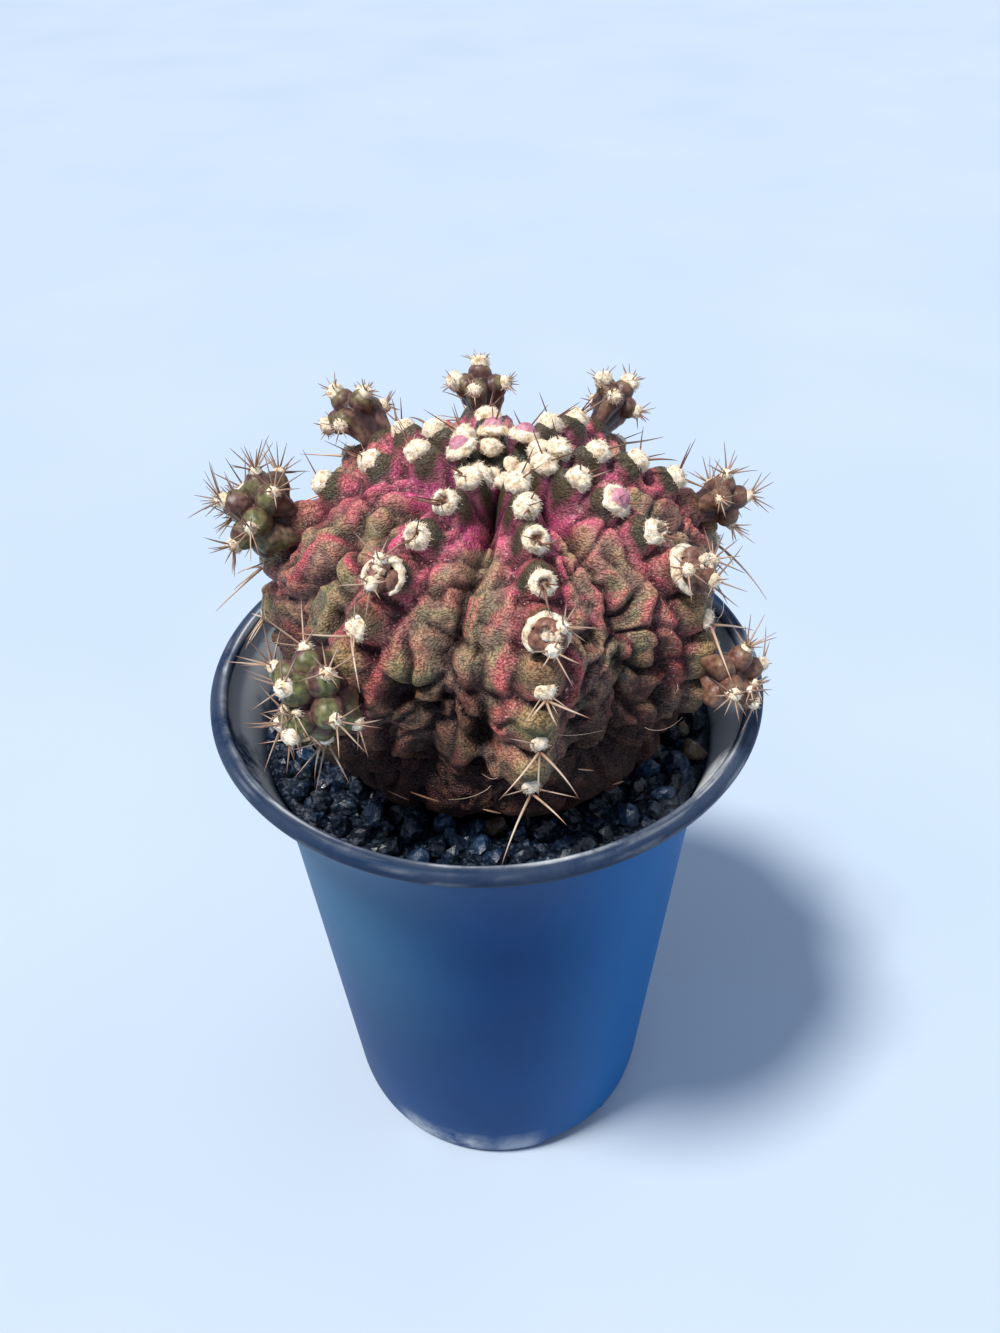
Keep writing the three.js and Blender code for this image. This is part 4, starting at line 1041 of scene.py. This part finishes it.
def headSpines():
    found = []
    for a in areoles:
        rib, row = a["rib"], a["row"]
        if (rib, row) in taken or a["polar"] > head["lastAreole"]:
            continue
        count, isYoung, key = spines["perRow"][row], row < spines["darkRows"], rib * 8 + row
        dark, fineDark = (spines["isDark"], 1.0) if isYoung else (spines["isPale"], 0.3)
        for i in range(count):
            share = i / (count - 1) - 0.5 if count > 1 else pick(-0.5, 0.5, rib, row)
            turn = math.radians(spines["fan"] * share + pick(-15, 15, rib * 9 + i, row))
            direction = leaning(a, math.radians(pick(36, 66, row * 5 + i, rib + 3)), turn)
            length = mix(*spines["length"], smooth(30, 80, a["polar"])) * spines["short"].get((rib, row), 1)
            length = length * pick(0.85, 1.15, row + i * 3, rib) * pick(0.55, 1.1, rib + 40, row + i)
            if not isClear(a["place"], a["place"] + direction * length):
                continue
            bend = np.cross(direction, a["side"]) * spines["bend"] * pick(-0.3, 0.7, i, key)
            bend = bend + a["side"] * pick(-0.15, 0.15, i + 5, key)
            root = a["place"] + a["down"] * 0.9 + a["facing"] * 0.2
            found.append(strand(root, direction, length, bend, spines["girth"], dark, spines["steps"]))
        # Short fine ones stand among them: dark ones on the crown, pale ones lower down.
        for i in range(spines["fine"]):
            chance = float(draw(rib * 11 + i, row * 7 + 3))
            if chance < (0.45 if isYoung else 0.3):
                continue
            lean = mix(12, 42, chance) if isYoung else mix(45, 80, chance)
            direction = leaning(a, math.radians(lean), pick(0, 2 * math.pi, rib + 17 * i, row + 5))
            length = pick(*spines["fineLength"], i + 3, key)
            if isClear(a["place"], a["place"] + direction * length):
                root, bend = a["place"] + direction * 0.6, a["down"] * 0.15 * (chance - 0.6)
                found.append(strand(root, direction, length, bend, spines["fineGirth"], fineDark,
                                    spines["fineSteps"]))
    return found


def starSpines():
    found = []
    for k, (name, plan) in enumerate(plans.items()):
        isOpen = name in spines["open"]
        low, high = spines["starCount" if isOpen else "denseCount"]
        grown = mix(spines["smallShare"], 1, plan["radius"] / spines["fullRadius"])
        grown *= 1 if isOpen else spines["denseShare"]
        grown *= spines["backShare"] if "back" in name else 1
        for i, tip, facing, share in starsOf(plan):
            many = low + int(pick(0, high - low + 1, i, k))
            for n in range(many):
                around = 2 * math.pi * (n + pick(0, 0.6, n, i + k)) / many
                lean = math.radians(pick(28, 66, i + 3, n + k))
                direction = turnTo(facing) @ (math.sin(lean) * math.cos(around),
                                              math.sin(lean) * math.sin(around), math.cos(lean))
                length = pick(*spines["starLength"], n + 9, i * 3 + k) * grown * share
                end = tip + direction * length
                if heightOver(end) >= spines["clear"] and isClear(tip, end, name):
                    bend = (direction - facing) * 0.22 * pick(-0.25, 0.75, n, k + 40)
                    found.append(strand(tip, direction, length, bend, spines["starGirth"],
                                        pick(0.35, 0.75, n + i, k), spines["fineSteps"]))
    return found


litter = {"fibres": 22, "fibreGirth": 0.05, "straws": 26, "strawGirth": 0.15, "sides": 4}


def driedBits():  # hair-thin dried fibres in the folds, and short straws caught round the base
    found = []
    for n in range(litter["fibres"]):
        azimuth, polar, turn = pick(0, 360, n, 71), pick(66, 96, n, 72), pick(-16, 16, n, 73)
        drop, bow, t = pick(-4, 12, n, 74), pick(0.1, 0.7, n, 75), np.linspace(0, 1, 9)
        path = pointAt(azimuth + turn * t ** 1.3, polar + drop * t, 1.2 - bow * np.sin(t * math.pi))
        found.append((path + headCentre, litter["fibreGirth"] * (1.05 - 0.8 * t), 0.3 + 0.3 * t, 0 * t + 0.1))
    for n in range(litter["straws"]):
        azimuth, polar, t = pick(0, 360, n, 81), pick(94, 116, n, 82), np.linspace(0, 1, 5)
        path = pointAt(azimuth + pick(-7, 7, n, 83) * t, polar + pick(-5, 5, n, 84) * t, 1.0)
        girth = litter["strawGirth"] * pick(0.5, 1.2, n, 85) * (0.4 + np.sin(t * math.pi) * 0.6)
        found.append((path + headCentre, girth, 0.05 + 0.1 * t, 0 * t + pick(0, 1, n, 86)))
    return found


finishPiece(strandPiece("dried_fibres", driedBits(), litter["sides"]), ["cactus_body"])
finishPiece(strandPiece("areole_spines", headSpines(), spines["sides"]), ["cactus_body"])
finishPiece(strandPiece("offset_spines", starSpines(), spines["starSides"]), list(offsets))
print("spines made")


# Flower buds: a few overlapping scales in a ring of wool

buds = {"radius": 1.45, "tall": 1.05, "lift": 0.2, "scales": 7, "upperEdge": 38, "lowerEdge": 72, "point": 16}


def makeBuds():
    directions, shape = ball(4)
    polar = np.degrees(np.arccos(np.clip(directions[:, 2], -1, 1)))
    around = np.arctan2(directions[:, 1], directions[:, 0]) * buds["scales"] / (2 * math.pi)
    # Two whorls of scales, the upper ones set over the gaps of the lower.
    upper, lower = (2 * np.abs((around + shift) % 1 - 0.5) for shift in (0.5, 0))
    lap = np.where(polar < buds["upperEdge"] + buds["point"] * (1 - upper), 0.1, np.where(
        polar < buds["lowerEdge"] + buds["point"] * (1 - lower), 0.2, 0.3))
    local = directions * (buds["radius"] * (0.78 + lap))[:, None] * (1, 1, buds["tall"])
    points, faces = [], []
    for rib, row in wool["flowers"]:
        a = areoleOn(rib, row)
        faces += [[len(points) * len(local) + n for n in f] for f in shape]
        points.append(local @ turnTo(a["facing"]).T + a["place"] + a["facing"] * buds["lift"] + headCentre)
    edge = np.tile(np.clip((lap - 0.1) * 2, 0, 1), len(points))
    return meshPiece("flower_buds", np.concatenate(points), faces, {"edge": edge}, finish["bud"])


finishPiece(makeBuds(), ["cactus_body"])
print("buds made")


# Top dressing: a dark bed with two layers of grit on it

dressing = {
    "bed": (87.35, 93.0), "top": 94.2, "layerGap": 1.7, "gap": 0.35, "between": 3.15, "tries": 9000,
    "seed": 5, "innerRadius": 24.0, "uneven": 0.55, "seated": 30, "sides": 120, "clearance": 0.5,
    "plant": ([90, 94.6, 97], [21.5, 26.2, 29.0]),  # how wide the plant is at a few heights
}


def makeBed():
    base, top = dressing["bed"]
    outer = [(wallRadius(pot["wall"], z) - dressing["gap"], z) for z in np.linspace(base, top, 6)]
    polar = np.arange(168, 121, -4)
    (r, z), (nr, nz) = outline(polar), outlineNormal(polar)
    r, z = r + nr * dressing["clearance"], z + nz * dressing["clearance"] + headCentre[2]
    inner = [q for q in zip(r.tolist(), z.tolist()) if base < q[1] < top]
    rootHole = head["root"][0][0] + 0.6
    # The bed closes under the head's seat, round the root.
    profile = [(rootHole, base), *outer, (outer[-1][0] - 2, top + 0.1), (inner[-1][0] + 1.5, top + 0.1),
               *inner[::-1], (rootHole, inner[0][1])]
    places, faces = lathe([*profile, profile[0]], dressing["sides"])
    seated = np.hypot(places[:, 0], places[:, 1]) < dressing["seated"]
    places[seated, :2] += headCentre[:2]
    return meshPiece("grit_bed", places, faces, {"tint": np.full(len(places), 0.3)}, finish["grit"])


def makeGrit():
    rng, placed, grain = np.random.default_rng(dressing["seed"]), [], grit["Size"]
    for height in (dressing["top"] - dressing["layerGap"], dressing["top"]):
        kept = []
        edge = wallRadius(pot["wall"], height) - dressing["gap"] - grain * 0.58
        plant = np.interp(height, *dressing["plant"]) + grain * 0.4
        for _ in range(dressing["tries"]):
            r = math.sqrt(rng.uniform(dressing["innerRadius"] ** 2, edge ** 2))
            a = rng.uniform(0, 2 * math.pi)
            x, y = r * math.cos(a), r * math.sin(a)
            if math.hypot(x - headCentre[0], y - headCentre[1]) < plant:
                continue
            if all(math.hypot(x - q[0], y - q[1]) > dressing["between"] for q in kept):
                kept.append((x, y, height + rng.uniform(-dressing["uneven"], dressing["uneven"])))
        placed += kept
    print("grit scattered:", len(placed), "grains")
    return grow(meshPiece("grit_grains", placed, []), gritTree, grit)


for piece in (makeBed(), makeGrit()):
    finishPiece(piece, ["gravel_dressing"])


# Floor, light and camera

studio = {
    "floor": ("#A9BACB", "#B1C1D1"), "floorHalf": 6000, "sky": ("#C8DCFC", 0.48), "look": "Standard",
    "eye": (2.2, -136.1, 217.6), "elevation": 40.05, "roll": -1.4, "lens": 29.71, "sensor": 36,
    "lights": (("key", (-30, -14, 80), 11, 4.3, "#FFF9F2"), ("fill", (50, 30, 50), 80, 0.5, "#F1F6FF")),
}  # each light: from where, its spread in degrees, strength and colour


# Painted board, matt and pale, barely uneven in tone.
def makeFloor():
    material, add, _, f = newFinish("painted board", tone=(120, 2, 0.5))
    dark, pale = studio["floor"]
    colour = add("ShaderNodeValToRGB", {"Fac": f["tone"]}, stops={0.2: dark, 0.8: pale})
    endFinish(material, add, colour, [], [], {"Roughness": 0.6})
    half = studio["floorHalf"]
    corners = [(-half, -half, 0), (half, -half, 0), (half, half, 0), (-half, half, 0)]
    floor = meshPiece("floor", corners, [[0, 1, 2, 3]], finish=material)


def makeLights():
    world = bpy.data.worlds.new("studio sky")
    bpy.context.scene.world = world
    world.use_nodes = True
    world.node_tree.nodes.clear()
    colour, strength = studio["sky"]
    glow = addNode(world.node_tree, "ShaderNodeBackground", {"Color": colour, "Strength": strength})
    addNode(world.node_tree, "ShaderNodeOutputWorld", {"Surface": glow})
    for name, place, spread, power, tint in studio["lights"]:  # wide, soft suns
        light = bpy.data.lights.new(name, "SUN")
        light.angle, light.energy, light.color = math.radians(spread), power, hexColour(tint)[:3]
        linked(name, light).rotation_euler = Vector(place).to_track_quat("Z", "Y").to_euler()


def makeCamera():
    camera = bpy.data.cameras.new("photo camera")
    camera.lens, camera.sensor_width, camera.sensor_fit = studio["lens"], studio["sensor"], "AUTO"
    camera.clip_start, camera.clip_end = 0.01, 50
    e, roll = math.radians(studio["elevation"]), math.radians(studio["roll"])
    ahead = Vector((0, math.cos(e), -math.sin(e)))
    up, right = Vector((0, math.sin(e), math.cos(e))), Vector((1, 0, 0))
    right, up = right * math.cos(roll) + up * math.sin(roll), up * math.cos(roll) - right * math.sin(roll)
    axes = Matrix((right, up, -ahead)).transposed().to_4x4()
    axes.translation = Vector(studio["eye"]) * metre
    rig = linked("photo camera", camera)
    rig.matrix_world = axes
    bpy.context.scene.camera = rig


makeFloor()
makeLights()
makeCamera()
bpy.context.scene.view_settings.view_transform = studio["look"]
print("floor, light and camera set")
